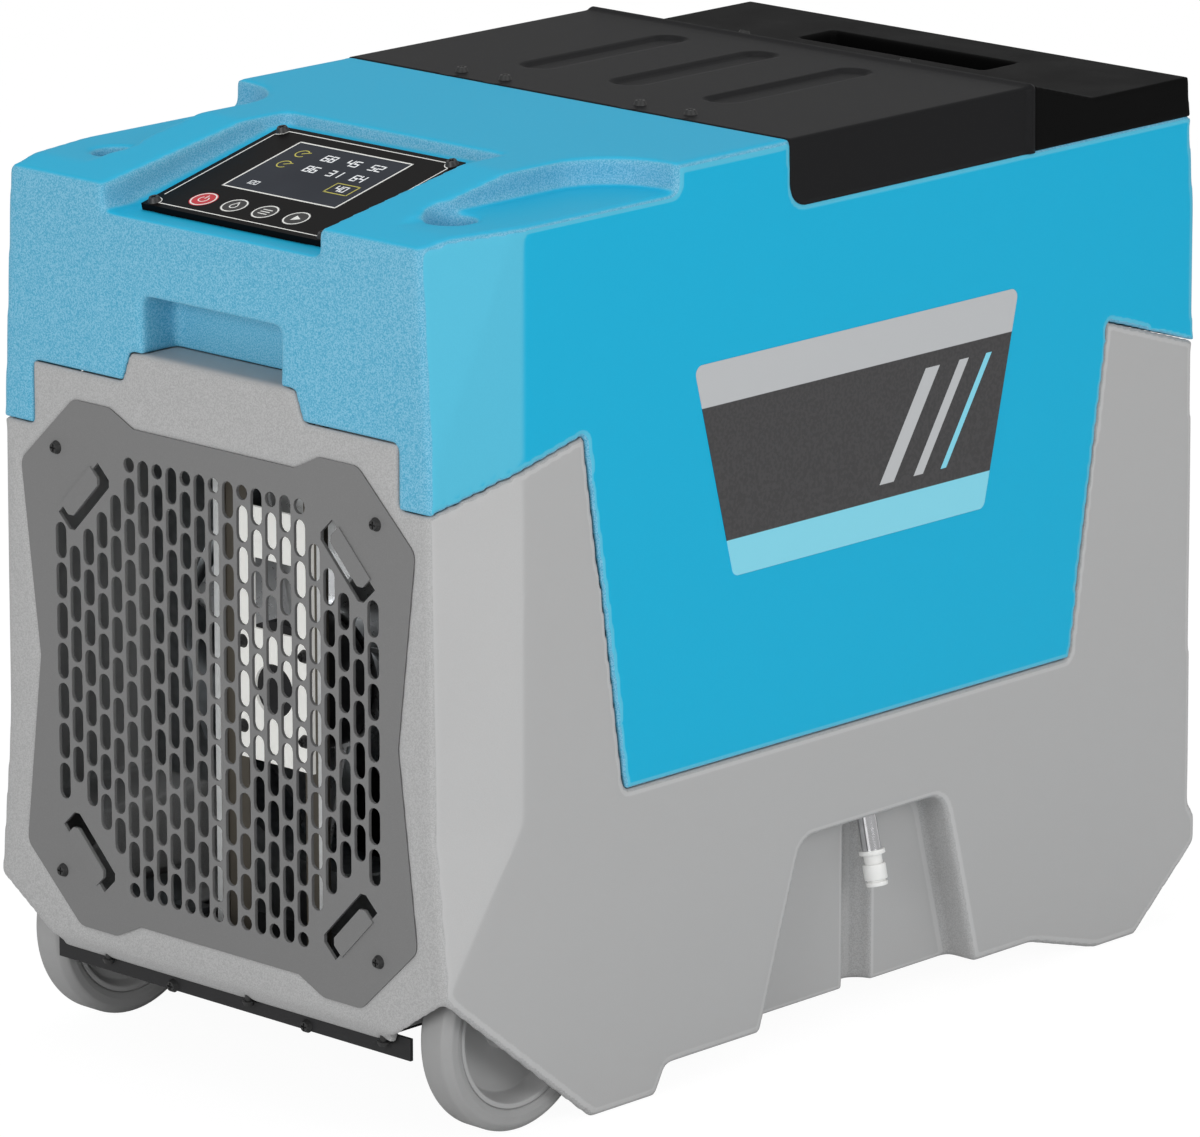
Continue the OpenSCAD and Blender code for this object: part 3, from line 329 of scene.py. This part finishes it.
def black_screw():
    """Blackened steel, made once."""
    if "black_screw" in bpy.data.materials:
        return bpy.data.materials["black_screw"]
    s = Shade("black_screw")
    worn = s.noise(500, 3)
    shade = s.blend(worn.step(0.5, 0.8) * 0.5, tint4(7, 7, 7), tint4(22, 22, 22))
    return s.finish(shade, 0.45 + 0.2 * worn, s.bump(worn, 0.00005, 0.4), specular_ior_level=0.1)


def dress(node, *materials):
    """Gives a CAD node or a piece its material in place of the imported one."""
    data = (NODES[node] if isinstance(node, str) else node).data
    data.materials.clear()
    for material in materials:
        data.materials.append(material)


# ---- Mesh helpers ----
def piece(name, verts, faces, body, slot, material, smooth=None, replaces=()):
    """A mesh object that rides on a body. smooth is the angle under which faces shade as one."""
    mesh = bpy.data.meshes.new(name)
    mesh.from_pydata([tuple(v) for v in verts], [], faces)
    shell = bmesh.new()
    shell.from_mesh(mesh)
    bmesh.ops.remove_doubles(shell, verts=shell.verts, dist=1e-6)
    bmesh.ops.recalc_face_normals(shell, faces=shell.faces)
    shell.to_mesh(mesh)
    shell.free()
    if smooth is not None:
        for face in mesh.polygons:
            face.use_smooth = True
        mesh.set_sharp_from_angle(angle=math.radians(smooth))
    obj = bpy.data.objects.new(name, mesh)
    bpy.context.scene.collection.objects.link(obj)
    mesh.materials.append(material)
    if replaces:
        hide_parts(*replaces)
    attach(obj, body)
    return obj


def prism(outline, base, up):
    """Vertices and faces of a closed outline, drawn out along one vector."""
    n = len(outline)
    verts = [Vector(p) + base for p in outline] + [Vector(p) + base + up for p in outline]
    faces = [tuple(reversed(range(n))), tuple(range(n, 2 * n))]
    faces += [(i, (i + 1) % n, (i + 1) % n + n, i + n) for i in range(n)]
    return verts, faces


def gather(parts):
    """Joins several (vertices, faces) into one."""
    verts, faces = [], []
    for some_verts, some_faces in parts:
        start = len(verts)
        verts += list(some_verts)
        faces += [tuple(i + start for i in face) for face in some_faces]
    return verts, faces


def eased_skin(name, node, neighbours, cell, passes, keep, material):
    """A piece that stands for a CAD moulding and has its corners rounded.

    The moulding gets an even skin, whose points are drawn towards their neighbours. Near the
    pieces that the moulding meets they are pushed back again, so that walls and joint lines stay."""
    draft = bpy.data.objects.new("draft", NODES[node].data.copy())
    bpy.context.scene.collection.objects.link(draft)
    skin = draft.modifiers.new("skin", "REMESH")
    skin.mode = "VOXEL"
    skin.voxel_size = cell
    mesh = bpy.data.meshes.new_from_object(draft.evaluated_get(bpy.context.evaluated_depsgraph_get()))
    bpy.data.objects.remove(draft)
    mesh.name = name

    count = len(mesh.vertices)
    points = np.empty(count * 3)
    mesh.vertices.foreach_get("co", points)
    points = points.reshape(-1, 3)
    ends = np.empty(len(mesh.edges) * 2, dtype=np.int32)
    mesh.edges.foreach_get("vertices", ends)
    one, two = ends[0::2], ends[1::2]
    near = np.full(count, REACH)
    for other in neighbours:
        data = NODES[other].data
        faces = [tuple(face.vertices) for face in data.polygons]
        tree = BVHTree.FromPolygons([vertex.co for vertex in data.vertices], faces)
        for i, point in enumerate(points):
            hit = tree.find_nearest(Vector(point), near[i])
            if hit[0] is not None:
                near[i] = min(near[i], hit[3])
    share = np.clip((near - HELD) / (FREE - HELD), 0, 1)
    free = (share * share * (3 - 2 * share))[:, None]
    links = (np.bincount(one, minlength=count) + np.bincount(two, minlength=count))[:, None]

    def pull():
        total = np.empty_like(points)
        for k in range(3):
            total[:, k] = np.bincount(one, points[two, k], count)
            total[:, k] += np.bincount(two, points[one, k], count)
        return total / links - points

    for _ in range(passes):
        points = points + PULL * pull()
        points = points - PUSH * (1 - free) * pull()
    mesh.vertices.foreach_set("co", points.ravel())
    mesh.materials.clear()
    mesh.materials.append(material)
    for face in mesh.polygons:
        face.use_smooth = True
    obj = bpy.data.objects.new(name, mesh)
    bpy.context.scene.collection.objects.link(obj)
    thin = obj.modifiers.new("thin", "DECIMATE")
    thin.ratio = keep
    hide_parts(node)
    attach(obj, "cabinet")
    return obj


def chamfer(node, width, steps=2, angle=35):
    """Takes the sharp edge off a CAD node."""
    obj = NODES[node]
    weld = obj.modifiers.new("weld", "WELD")
    weld.merge_threshold = 1e-6
    edge = obj.modifiers.new("edge", "BEVEL")
    edge.width = width
    edge.segments = steps
    edge.limit_method = "ANGLE"
    edge.angle_limit = math.radians(angle)
    edge.harden_normals = False


# ---- Settings ----
def colour_setting(name, description, *rgb):
    """A colour whose default is written as 0 to 255."""
    return FloatVectorProperty(name=name, description=description, subtype="COLOR", default=tint(*rgb))


def length_setting(name, description, default, low, high):
    """A length whose values are written in mm."""
    return FloatProperty(
        name=name, description=description, unit="LENGTH", default=default * MM, min=low * MM, max=high * MM
    )


def power_setting(name, description, default):
    """The strength of a light."""
    return FloatProperty(name=name, description=description, default=default, min=0)


class CasingSettings(bpy.types.PropertyGroup):
    blue: colour_setting("Upper shell", "Colour of the upper moulding", 9, 173, 214)
    grey: colour_setting("Lower shell", "Colour of the lower moulding", 174, 174, 174)
    cell: length_setting("Skin cell", "Size of the faces before thinning", 2.0, 1.0, 4.0)
    passes: IntProperty(
        name="Rounding", description="How far the corners are eased", default=6, min=0, max=30
    )
    keep: FloatProperty(
        name="Faces kept", description="Share of the faces that stay", default=0.16, min=0.05, max=1
    )


class CoverSettings(bpy.types.PropertyGroup):
    colour: colour_setting("Cover", "Colour of the steel cover", 30, 30, 31)
    fold: length_setting("Fold radius", "Outside radius of the folds", 2.5, 1, 6)
    press: length_setting("Groove depth", "Depth of the pressed grooves", 2.2, 0, 4)
    bead: length_setting("Bead", "Height of the bead along the rear edge", 1.6, 0, 3)


class ControlSettings(bpy.types.PropertyGroup):
    line: length_setting("Line width", "Width of the printed lines", 0.75, 0.3, 2)
    digit: length_setting("Digit height", "Height of the readings on the display", 6.4, 3, 9)


class DecalSettings(bpy.types.PropertyGroup):
    band: colour_setting("Band", "Colour of the pale blue band", 128, 212, 232)
    field: colour_setting("Field", "Colour of the dark field", 48, 47, 48)


class StageSettings(bpy.types.PropertyGroup):
    key: power_setting("Side light", "Power of the large light on the right", 29)
    front: power_setting("Front light", "Power of the light in front", 42)
    top: power_setting("Top light", "Power of the light above", 15)
    world: power_setting("Room", "Strength of the room's light", 0.47)


def settings(name):
    """The property group of that name on the scene."""
    return getattr(bpy.context.scene, "dryer_" + name)


# ---- Operators ----
class DRYER_OT_stage(bpy.types.Operator):
    """Sets up the camera, the floor and the studio lights"""

    bl_idname = "dryer.stage"
    bl_label = "Stage"

    def execute(self, context):
        lights = settings("stage")
        camera = bpy.data.cameras.new("camera")
        camera.lens = 243.1
        camera.sensor_width = 36
        camera.clip_end = 60
        eye = bpy.data.objects.new("camera", camera)
        eye.location = (3.0555, -3.2339, 1.4067)
        eye.rotation_euler = (math.radians(90 - 14.7109), 0, math.radians(43.4614))
        context.scene.collection.objects.link(eye)
        context.scene.camera = eye

        floor = bpy.data.meshes.new("floor")
        half, under = 9, -0.0004
        corners = [(-half, -half, under), (half, -half, under), (half, half, under), (-half, half, under)]
        floor.from_pydata(corners, [], [(0, 1, 2, 3)])
        plane = bpy.data.objects.new("floor", floor)
        context.scene.collection.objects.link(plane)
        s = Shade("floor")
        paint = s.add("ShaderNodeBsdfDiffuse", inputs={"Color": (0.82, 0.82, 0.82, 1)})
        glow = s.add("ShaderNodeEmission", inputs={"Color": (1, 1, 1, 1), "Strength": 1.06})
        floor.materials.append(s.mixed(s.seen_straight() * 0.9, paint, glow))

        world = bpy.data.worlds.new("studio")
        context.scene.world = world
        sky = Shade(world, "ShaderNodeOutputWorld")
        room = sky.add("ShaderNodeBackground", inputs={"Color": (1, 1, 1, 1), "Strength": lights.world})
        white = sky.add("ShaderNodeBackground", inputs={"Color": (1, 1, 1, 1), "Strength": 1.0})
        sky.mixed(sky.seen_straight(), room, white)

        centre = Vector((0, 0, 0.26))
        for name, power, size, place in (
            ("side", lights.key, 1.8, (3.0, 0.2, 1.3)),
            ("front", lights.front, 1.4, (0.8, -3.1, 1.2)),
            ("top", lights.top, 1.6, (-0.4, 0.2, 2.6)),
        ):
            lamp = bpy.data.lights.new(name, "AREA")
            lamp.energy = power
            lamp.size = size
            lit = bpy.data.objects.new(name, lamp)
            lit.location = place
            lit.rotation_euler = (centre - Vector(place)).to_track_quat("-Z", "Y").to_euler()
            context.scene.collection.objects.link(lit)
        context.scene.view_settings.view_transform = "Standard"
        return {"FINISHED"}


class DRYER_OT_casing(bpy.types.Operator):
    """Rounds the two mouldings and gives them their speckled plastic"""

    bl_idname = "dryer.casing"
    bl_label = "Casing"

    def execute(self, context):
        look = settings("casing")
        blue, grey = tuple(look.blue), tuple(look.grey)
        # The facet colours are lighter than the sides, painted light from the front; the pale blue speckle
        # colours hold a painted sheen
        upper = moulded("blue_moulding", blue, tint(83, 189, 218), tint(70, 158, 192), tint(128, 188, 214))
        lit_facet, dark, light = tint(189, 189, 189), tint(159, 159, 159), tint(178, 178, 178)
        lower = moulded("grey_moulding", grey, lit_facet, dark, light)
        for name, meets, material in (
            ("upper", ("lower_shell", "control_panel", "top_cover", "rear_cap"), upper),
            ("lower", ("upper_shell", "front_grille", "rear_grille", "base_plate"), lower),
        ):
            ease = (look.cell, look.passes, look.keep)
            eased_skin(name + "_moulding", name + "_shell", meets, *ease, material)
        return {"FINISHED"}


class DRYER_OT_covers(bpy.types.Operator):
    """Presses the steel cover and rounds the moulded cap"""

    bl_idname = "dryer.covers"
    bl_label = "Top covers"

    def execute(self, context):
        look = settings("cover")
        paint = powder("cover_paint", tuple(look.colour), 0.42, 0.2, 0.04)
        self.press_cover(look, paint)
        plastic = moulding("cap_plastic", tint(12, 12, 12), 0.5, 0.00016, 0.03)
        eased_skin("cap_moulding", "rear_cap", ("top_cover", "upper_shell"), 1.5 * MM, 4, 0.2, plastic)
        for node in ("top_cover_screws", "rear_cap_screws"):
            dress(node, black_screw())
        return {"FINISHED"}

    def press_cover(self, look, paint):
        low, high = COVER
        deck = high[2]
        fold = look.fold
        flat = high[0] - (deck - low[2]) * math.tan(COVER_LEAN) - fold
        # The right half of the section, from the middle of the top down the flange: (x, z, normal angle)
        steps = max(2, round(flat / (2.2 * MM)))
        section = [(flat * i / steps, deck, 90.0) for i in range(steps)]
        fold_steps, flange_steps = 6, 12
        for i in range(fold_steps + 1):
            angle = math.radians(90 - (90 + math.degrees(COVER_LEAN)) * i / fold_steps)
            x, z = flat + fold * math.cos(angle), deck - fold + fold * math.sin(angle)
            section.append((x, z, math.degrees(angle)))
        x0, z0, _ = section[-1]
        for i in range(1, flange_steps + 1):
            z = z0 + (low[2] - z0) * i / flange_steps
            section.append((x0 + (z0 - z) * math.tan(COVER_LEAN), z, -math.degrees(COVER_LEAN)))
        full = [(-x, z, 180 - a) for x, z, a in reversed(section)] + section[1:]
        lap = 0.8 * MM  # the sheet hides the joint to the cap
        y0, y1 = low[1], high[1] + lap
        rows = round((y1 - y0) / (1.6 * MM))
        grooves = [(x * MM, y0 + 46 * MM, y0 + 174 * MM, 12 * MM) for x in COVER_GROOVES]
        verts, faces = [], []
        for j in range(rows + 1):
            y = y0 + (y1 - y0) * j / rows
            ahead = max(0.0, COVER_CORNER - (y - y0))
            foot = low[2] + COVER_CORNER - math.sqrt(max(0.0, COVER_CORNER**2 - ahead**2))
            for x, z, angle in full:
                if z < deck - fold:
                    share = (deck - fold - z) / (deck - fold - low[2])
                    z_new = deck - fold - share * (deck - fold - foot)
                    x = math.copysign(abs(x) - (z_new - z) * math.tan(COVER_LEAN), x)
                    z = z_new
                sink = 0.0
                if z > deck - 0.5 * fold:
                    for cx, start, end, half in grooves:
                        inside = Vector((x - cx, y - min(max(y, start + half), end - half))).length
                        t = min(1.0, max(0.0, (half - inside) / (3.4 * MM)))
                        sink = max(sink, look.press * t * t * (3 - 2 * t))
                rear = (y1 - 3.2 * MM - y) / (3.0 * MM)
                rise = look.bead * math.exp(-rear * rear)
                out, angle = rise - sink, math.radians(angle)
                verts.append((x + out * math.cos(angle), y, z + out * math.sin(angle)))
        width = len(full)
        for j in range(rows):
            for i in range(width - 1):
                a = j * width + i
                faces.append((a, a + 1, a + width + 1, a + width))
        obj = piece("steel_cover", verts, faces, "cabinet", "cover_dark", paint, 40, ("top_cover",))
        sheet = obj.modifiers.new("sheet", "SOLIDIFY")
        sheet.thickness = COVER_SHEET
        sheet.offset = -1
        # Small tabs carry the screws at the front edge
        half, middle = 7.5 * MM, y0 + 3 * MM
        arc = [math.pi * k / 10 + math.pi for k in range(11)]
        tabs = []
        for x in COVER_SCREWS:
            outline = [(x * MM + half * math.cos(a), middle + half * 0.55 * math.sin(a), deck) for a in arc]
            tabs.append(prism(outline, Vector((0, 0, -1.2 * MM)), Vector((0, 0, 1.4 * MM))))
        piece("cover_tabs", *gather(tabs), "cabinet", "cover_dark", paint, 40)


class DRYER_OT_grilles(bpy.types.Operator):
    """Finishes the two grilles and what shows through them"""

    bl_idname = "dryer.grilles"
    bl_label = "Grilles and airflow"

    def execute(self, context):
        grey = powder("grille_paint", tint(118, 118, 118), 0.45, 0.2, 0.2)
        for node in ("front_grille", "rear_grille"):
            dress(node, grey)
            chamfer(node, 0.35 * MM, 2, 50)
        for node in ("grille_screws", "rear_grille_screws", "motor_screws"):
            dress(node, black_screw())
        zinc = bare_metal("galvanised", tint(178, 182, 184), 0.38, (1, 1, 1), 0.5, 60)
        # The struts: a light front lip, a painted highlight, and a dark beige inside behind it, painted
        # shade
        s = Shade("strut_zinc")
        _, y, _ = s.parts(s.place())
        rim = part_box("motor_struts")[0][1] + 1.6 * MM
        shaded_inside = y.step(rim, rim + 0.5 * MM)
        spangle = s.cells(220).step(0.1, 0.8) * 0.2
        face = s.blend(spangle, tint4(236, 238, 238), tint4(200, 203, 204))
        # light lip: painted highlight; dark inside: painted shade
        shade = s.blend(shaded_inside, face, tint4(92, 87, 78))
        dress("motor_struts", s.finish(shade, 0.35 + 0.3 * shaded_inside, metallic=0.1))
        for node in ("fan_shroud", "coil_frame", "axle_brackets", "electrical_box"):
            dress(node, zinc)
        # The motor plate glows a little: painted light that brightens it behind the grille
        dress("motor_plate", moulding("white_paint", tint(240, 240, 236), 0.35, 0.00004, 0.3, 0.3))
        dress("fan_impeller", bare_metal("fan_blades", tint(210, 212, 214), 0.3, (1, 1, 1), 0, 300))
        dress("fan_motor", powder("motor_paint", tint(34, 34, 36), 0.4))
        dress("filter_frame", moulding("filter_frame", tint(32, 33, 34), 0.5))
        dress("filter_media", pleated("filter_paper", tint(214, 218, 210)))
        return {"FINISHED"}


class DRYER_OT_controls(bpy.types.Operator):
    """Prints the control panel and lights its display"""

    bl_idname = "dryer.controls"
    bl_label = "Controls"

    def execute(self, context):
        look = settings("controls")
        film = Shade("panel_film")
        fine = film.noise(2400, 2)
        shade = film.blend(fine.step(0.4, 0.7) * 0.15, tint4(12, 10, 10), tint4(28, 25, 24))
        normal = film.bump(fine, 0.00004, 0.4)
        dress("control_panel", film.finish(shade, 0.3 + 0.1 * fine, normal, specular_ior_level=0.04))
        glass = Shade("display_glass")
        soft = glass.noise(14, 2)
        shade = glass.blend(soft.step(0.3, 0.8), tint4(38, 42, 50), tint4(46, 50, 58))
        dress("display_window", glass.finish(shade, 0.22 + 0.06 * soft, specular_ior_level=0.06))
        dress("display_module", moulding("display_back", tint(60, 66, 72), 0.3))
        dress("control_board", circuit("circuit_board"))
        dress("key_power", moulding("red_key", tint(196, 24, 40), 0.3, 0.00003))
        for node in ("key_purge", "key_mode", "key_next"):
            dress(node, moulding("black_key", tint(26, 24, 24), 0.3, 0.00003))
        dress("panel_screws", black_screw())
        self.print_panel(look)
        return {"FINISHED"}

    def print_panel(self, look):
        low, high = PANEL
        width = high[0] - low[0]
        depth = (high[1] - low[1] - PANEL_SHEET * math.sin(PANEL_TILT)) / math.cos(PANEL_TILT)
        right = Vector((1, 0, 0))
        up = Vector((0, math.cos(PANEL_TILT), math.sin(PANEL_TILT)))
        out = Vector((0, -math.sin(PANEL_TILT), math.cos(PANEL_TILT)))
        origin = Vector((0, low[1], high[2] - depth * math.sin(PANEL_TILT)))
        lift = 0.03 * MM

        def at(x, y):
            return origin + right * x + up * y

        def rectangle(x0, y0, x1, y1):
            return [(x0, y0), (x1, y0), (x1, y1), (x0, y1)]

        def strip(points, thick, closed=False):
            """A printed line through points of the panel, given as (x, up the slope)."""
            parts = []
            pairs = zip(points, points[1:] + points[:1]) if closed else zip(points, points[1:])
            for a, b in pairs:
                a, b = Vector(a), Vector(b)
                along = (b - a).normalized() * thick / 2
                side = Vector((-along.y, along.x))
                corners = [a - along - side, b + along - side, b + along + side, a - along + side]
                parts.append(prism([at(*c) for c in corners], out * lift * 0.2, out * lift))
            return parts

        def ring(centre, radius, thick, start=0.0, turn=360.0, count=40):
            """A printed circle or arc, with its angles in degrees."""
            angles = [math.radians(start + turn * i / count) for i in range(count + 1)]
            verts = []
            for angle in angles:
                for r in (radius - thick / 2, radius + thick / 2):
                    p = at(centre[0] + r * math.cos(angle), centre[1] + r * math.sin(angle))
                    verts += [p + out * lift * 0.2, p + out * lift * 1.2]
            faces = []
            for i in range(count):
                a, b = 4 * i, 4 * (i + 1)
                faces += [(a + 1, a + 3, b + 3, b + 1), (a, b, b + 2, a + 2)]
                faces += [(a, a + 1, b + 1, b), (a + 2, b + 2, b + 3, a + 3)]
            return [(verts, faces)]

        # The border stops short of the screws, and a quarter circle goes round each of them
        line = look.line
        edge = 4.2 * MM
        half = width / 2 - edge
        notch = 5.5 * MM
        foot, head = 9 * MM + notch, depth - 5 * MM - notch
        parts = []
        for side, starts in ((1, (90, 180)), (-1, (0, 270))):
            parts += strip([(side * half, foot), (side * half, head)], line)
            for y, start in zip((edge, depth - edge), starts):
                parts += ring((side * half, y), notch, line, start, 90, 10)
        for y in (edge, depth - edge):
            parts += strip([(notch - half, y), (half - notch, y)], line)
        white = moulding("printed_white", tint(236, 236, 232), 0.4, 0.00002)
        parts += strip(rectangle(-WINDOW[1][0], WINDOW_FOOT, WINDOW[1][0], WINDOW_HEAD), 1.5 * line, True)
        piece("panel_lines", *gather(parts), "cabinet", "white_plastic", white)

        # Rings and marks on the keys ride with the keys
        for key in ("power", "purge", "mode", "next"):
            k_low, k_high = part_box("key_" + key)
            x, y = (k_low[0] + k_high[0]) / 2, KEY_ROW

            def by(*offsets):
                """Points of the panel, given in mm from the middle of the key."""
                return [(x + dx * MM, y + dy * MM) for dx, dy in offsets]

            marks = ring((x, y), 7.3 * MM, 0.9 * MM)
            if key == "power":
                marks += ring((x, y), 3.0 * MM, 0.7 * MM, 125, 290, 24)
                marks += strip(by((0, 1.2), (0, 4.4)), 0.7 * MM)
            elif key == "purge":
                marks += ring(*by((0, -0.6)), 2.3 * MM, 0.7 * MM, 150, 240, 20)
                marks += strip(by((-2.0, 0.5), (0, 4.2), (2.0, 0.5)), 0.7 * MM)
            elif key == "mode":
                for row in (-2.4, 0, 2.4):
                    marks += strip(by((-3, row), (3, row)), 0.8 * MM)
            else:
                tip = by((-2.0, -3), (3.2, 0), (-2.0, 3))
                marks.append(prism([at(*p) for p in tip], out * lift * 0.2, out * lift))
            piece("key_" + key + "_marks", *gather(marks), key + "_key", "white_plastic", white)

        # Readings: seven bars to a digit
        bars = {
            "0": "abcdef", "1": "bc", "2": "abged", "3": "abgcd", "4": "fgbc",
            "5": "afgcd", "6": "afgedc", "7": "abc", "8": "abcdefg", "9": "abcdfg",
        }
        readings, boxes = [], []

        def number(text, x, y, size):
            w = size * 0.52
            for k, digit in enumerate(text):
                left = x + k * size * 0.78
                mid = size / 2
                ends = {
                    "a": ((0, size), (w, size)), "b": ((w, mid), (w, size)), "c": ((w, 0), (w, mid)),
                    "d": ((0, 0), (w, 0)), "e": ((0, 0), (0, mid)), "f": ((0, mid), (0, size)),
                    "g": ((0, mid), (w, mid)),
                }
                for bar in bars[digit]:
                    (ax, ay), (bx, by) = ends[bar]
                    readings.extend(strip([(left + ax, y + ay), (left + bx, y + by)], size * 0.15))

        tall = look.digit
        for row, texts in enumerate((("68", "45", "52"), ("86", "31", "64"))):
            for column, text in enumerate(texts):
                number(text, (-13 + 18 * column) * MM, (82 - 14.5 * row) * MM, tall)
        number("120", -33 * MM, 43 * MM, tall * 0.62)
        number("40", 24 * MM, 53.5 * MM, tall * 0.9)
        boxes += strip(rectangle(20 * MM, 50.5 * MM, 37 * MM, 62 * MM), 0.8 * MM, True)
        for y in (85, 70.5):
            boxes += ring((-30 * MM, y * MM), 4.0 * MM, 0.8 * MM, 40, 280, 20)
            boxes += strip([(-30 * MM, y * MM), (-25.5 * MM, (y + 2.5) * MM)], 0.8 * MM)
        glow = Shade("display_digits")
        dots = glow.noise(900, 1)
        lit = glow.blend(dots.step(0.2, 0.5), tint4(190, 196, 200), tint4(236, 238, 240))
        piece("readings", *gather(readings), "cabinet", "white_plastic",
              glow.finish(lit, 0.4, emission_color=lit, emission_strength=0.15))
        amber = Shade("display_marks")
        tone = amber.noise(700, 1)
        piece("display_marks", *gather(boxes), "cabinet", "white_plastic",
              amber.finish(amber.blend(tone, tint4(176, 168, 60), tint4(206, 196, 84)), 0.4))


class DRYER_OT_decals(bpy.types.Operator):
    """Prints a plain striped panel on each side"""

    bl_idname = "dryer.decals"
    bl_label = "Side decals"

    def execute(self, context):
        look = settings("decals")
        s = Shade("side_print")
        _, y, z = s.parts(s.place())
        low, high = DECALS
        run = (z - low[2]) / (high[2] - low[2])
        along = (y - low[1]) / (high[1] - low[1])
        silver = tint4(186, 188, 190)
        weave = s.noise(500, 2)
        field = s.blend(weave.step(0.4, 0.6) * 0.35, solid(look.field), solid(look.field, 2.2))
        slant = along - (run - 0.5) * 0.30
        shade = s.blend(run.step(0.80, 0.803), field, silver)
        shade = s.blend(run.step(0.0, 0.001) * (1 - run.step(0.17, 0.173)), shade, solid(look.band))
        for place, wide in ((0.66, 0.045), (0.76, 0.03), (0.84, 0.018)):
            stripe = (abs(slant - place) < wide / 2) * (run > 0.24) * (run < 0.73)
            shade = s.blend(stripe, shade, silver if wide > 0.02 else solid(look.band))
        dress("side_decals", s.finish(shade, 0.32 + 0.08 * weave))
        return {"FINISHED"}


class DRYER_OT_running_gear(bpy.types.Operator):
    """Finishes the wheels, the axles and the base plate"""

    bl_idname = "dryer.running_gear"
    bl_label = "Running gear"

    def execute(self, context):
        tyre = soft_rubber("grey_tyre", tint(152, 152, 152), 0.55)
        hub = moulding("grey_hub", tint(168, 168, 168), 0.45, 0.0001)
        for side in ("left", "right"):
            dress("tyre_" + side, tyre)
            dress("hub_" + side, hub)
            chamfer("tyre_" + side, 1.2 * MM, 3, 25)
            chamfer("hub_" + side, 0.8 * MM, 3, 30)
        bright = bare_metal("zinc_plate", tint(190, 192, 192), 0.28, (1, 1, 1), 0, 500)
        for node in ("stub_axles", "axle_nuts"):
            dress(node, bright)
        dress("base_plate_screws", black_screw())
        dress("base_plate", powder("base_paint", tint(34, 34, 35), 0.45))
        return {"FINISHED"}


class DRYER_OT_drain(bpy.types.Operator):
    """Finishes the drain outlet"""

    bl_idname = "dryer.drain"
    bl_label = "Drain outlet"

    def execute(self, context):
        dress("drain_fitting", bare_metal("chrome_fitting", tint(226, 226, 228), 0.08, (1, 1, 1), 0, 200))
        white = moulding("white_coupling", tint(232, 232, 230), 0.3, 0.00004)
        for node in ("drain_coupling", "release_collar"):
            dress(node, white)
            chamfer(node, 0.35 * MM, 2, 40)
        dress("drain_hose", moulding("clear_hose", tint(196, 204, 208), 0.25, 0.00003))
        return {"FINISHED"}


class DRYER_OT_inside(bpy.types.Operator):
    """Finishes the cooling circuit, the pump and the electrics"""

    bl_idname = "dryer.inside"
    bl_label = "Inside"

    def execute(self, context):
        fins = ribbed_fins("coil_fins", tint(200, 204, 206), 3.2 * MM)
        for node in ("evaporator", "condenser", "heat_exchanger"):
            dress(node, fins)
        copper = bare_metal("copper_tube", tint(196, 120, 84), 0.3, (1, 1, 1), 0, 300)
        for node in ("discharge_pipe", "suction_pipe", "liquid_line", "filter_drier"):
            dress(node, copper)
        dress("compressor", powder("compressor_paint", tint(20, 20, 21), 0.3, 0.1))
        dress("compressor_feet", soft_rubber("grommets", tint(26, 26, 26)))
        dress("compressor_bolts", bare_metal("bolts", tint(186, 188, 188), 0.3, (1, 1, 1), 0, 400))
        dress("capacitor", bare_metal("capacitor_can", tint(206, 208, 210), 0.3, (1, 1, 0.05), 0, 500))
        dark = moulding("dark_plastic", tint(40, 41, 43), 0.45)
        for node in ("condensate_pump", "drain_pan", "power_inlet"):
            dress(node, dark)
        return {"FINISHED"}


class DRYER_PT_panel(bpy.types.Panel):
    bl_label = "Dehumidifier"
    bl_idname = "DRYER_PT_panel"
    bl_space_type = "VIEW_3D"
    bl_region_type = "UI"
    bl_category = "Dehumidifier"

    def draw(self, context):
        for group in GROUPS:
            box = self.layout.box()
            box.label(text=group.title())
            for name in settings(group).__annotations__:
                box.prop(settings(group), name)
        for operator in OPERATORS:
            self.layout.operator(operator.bl_idname)


GROUPS = {
    "casing": CasingSettings,
    "cover": CoverSettings,
    "controls": ControlSettings,
    "decals": DecalSettings,
    "stage": StageSettings,
}
OPERATORS = (
    DRYER_OT_stage,
    DRYER_OT_casing,
    DRYER_OT_covers,
    DRYER_OT_grilles,
    DRYER_OT_controls,
    DRYER_OT_decals,
    DRYER_OT_running_gear,
    DRYER_OT_drain,
    DRYER_OT_inside,
)
CLASSES = (*GROUPS.values(), *OPERATORS, DRYER_PT_panel)


def register():
    for cls in CLASSES:
        bpy.utils.register_class(cls)
    for name, group in GROUPS.items():
        setattr(bpy.types.Scene, "dryer_" + name, PointerProperty(type=group))


def unregister():
    for name in GROUPS:
        delattr(bpy.types.Scene, "dryer_" + name)
    for cls in reversed(CLASSES):
        bpy.utils.unregister_class(cls)


def main():
    register()
    for operator in OPERATORS:
        category, name = operator.bl_idname.split(".")
        getattr(getattr(bpy.ops, category), name)()


if __name__ == "__main__":
    main()
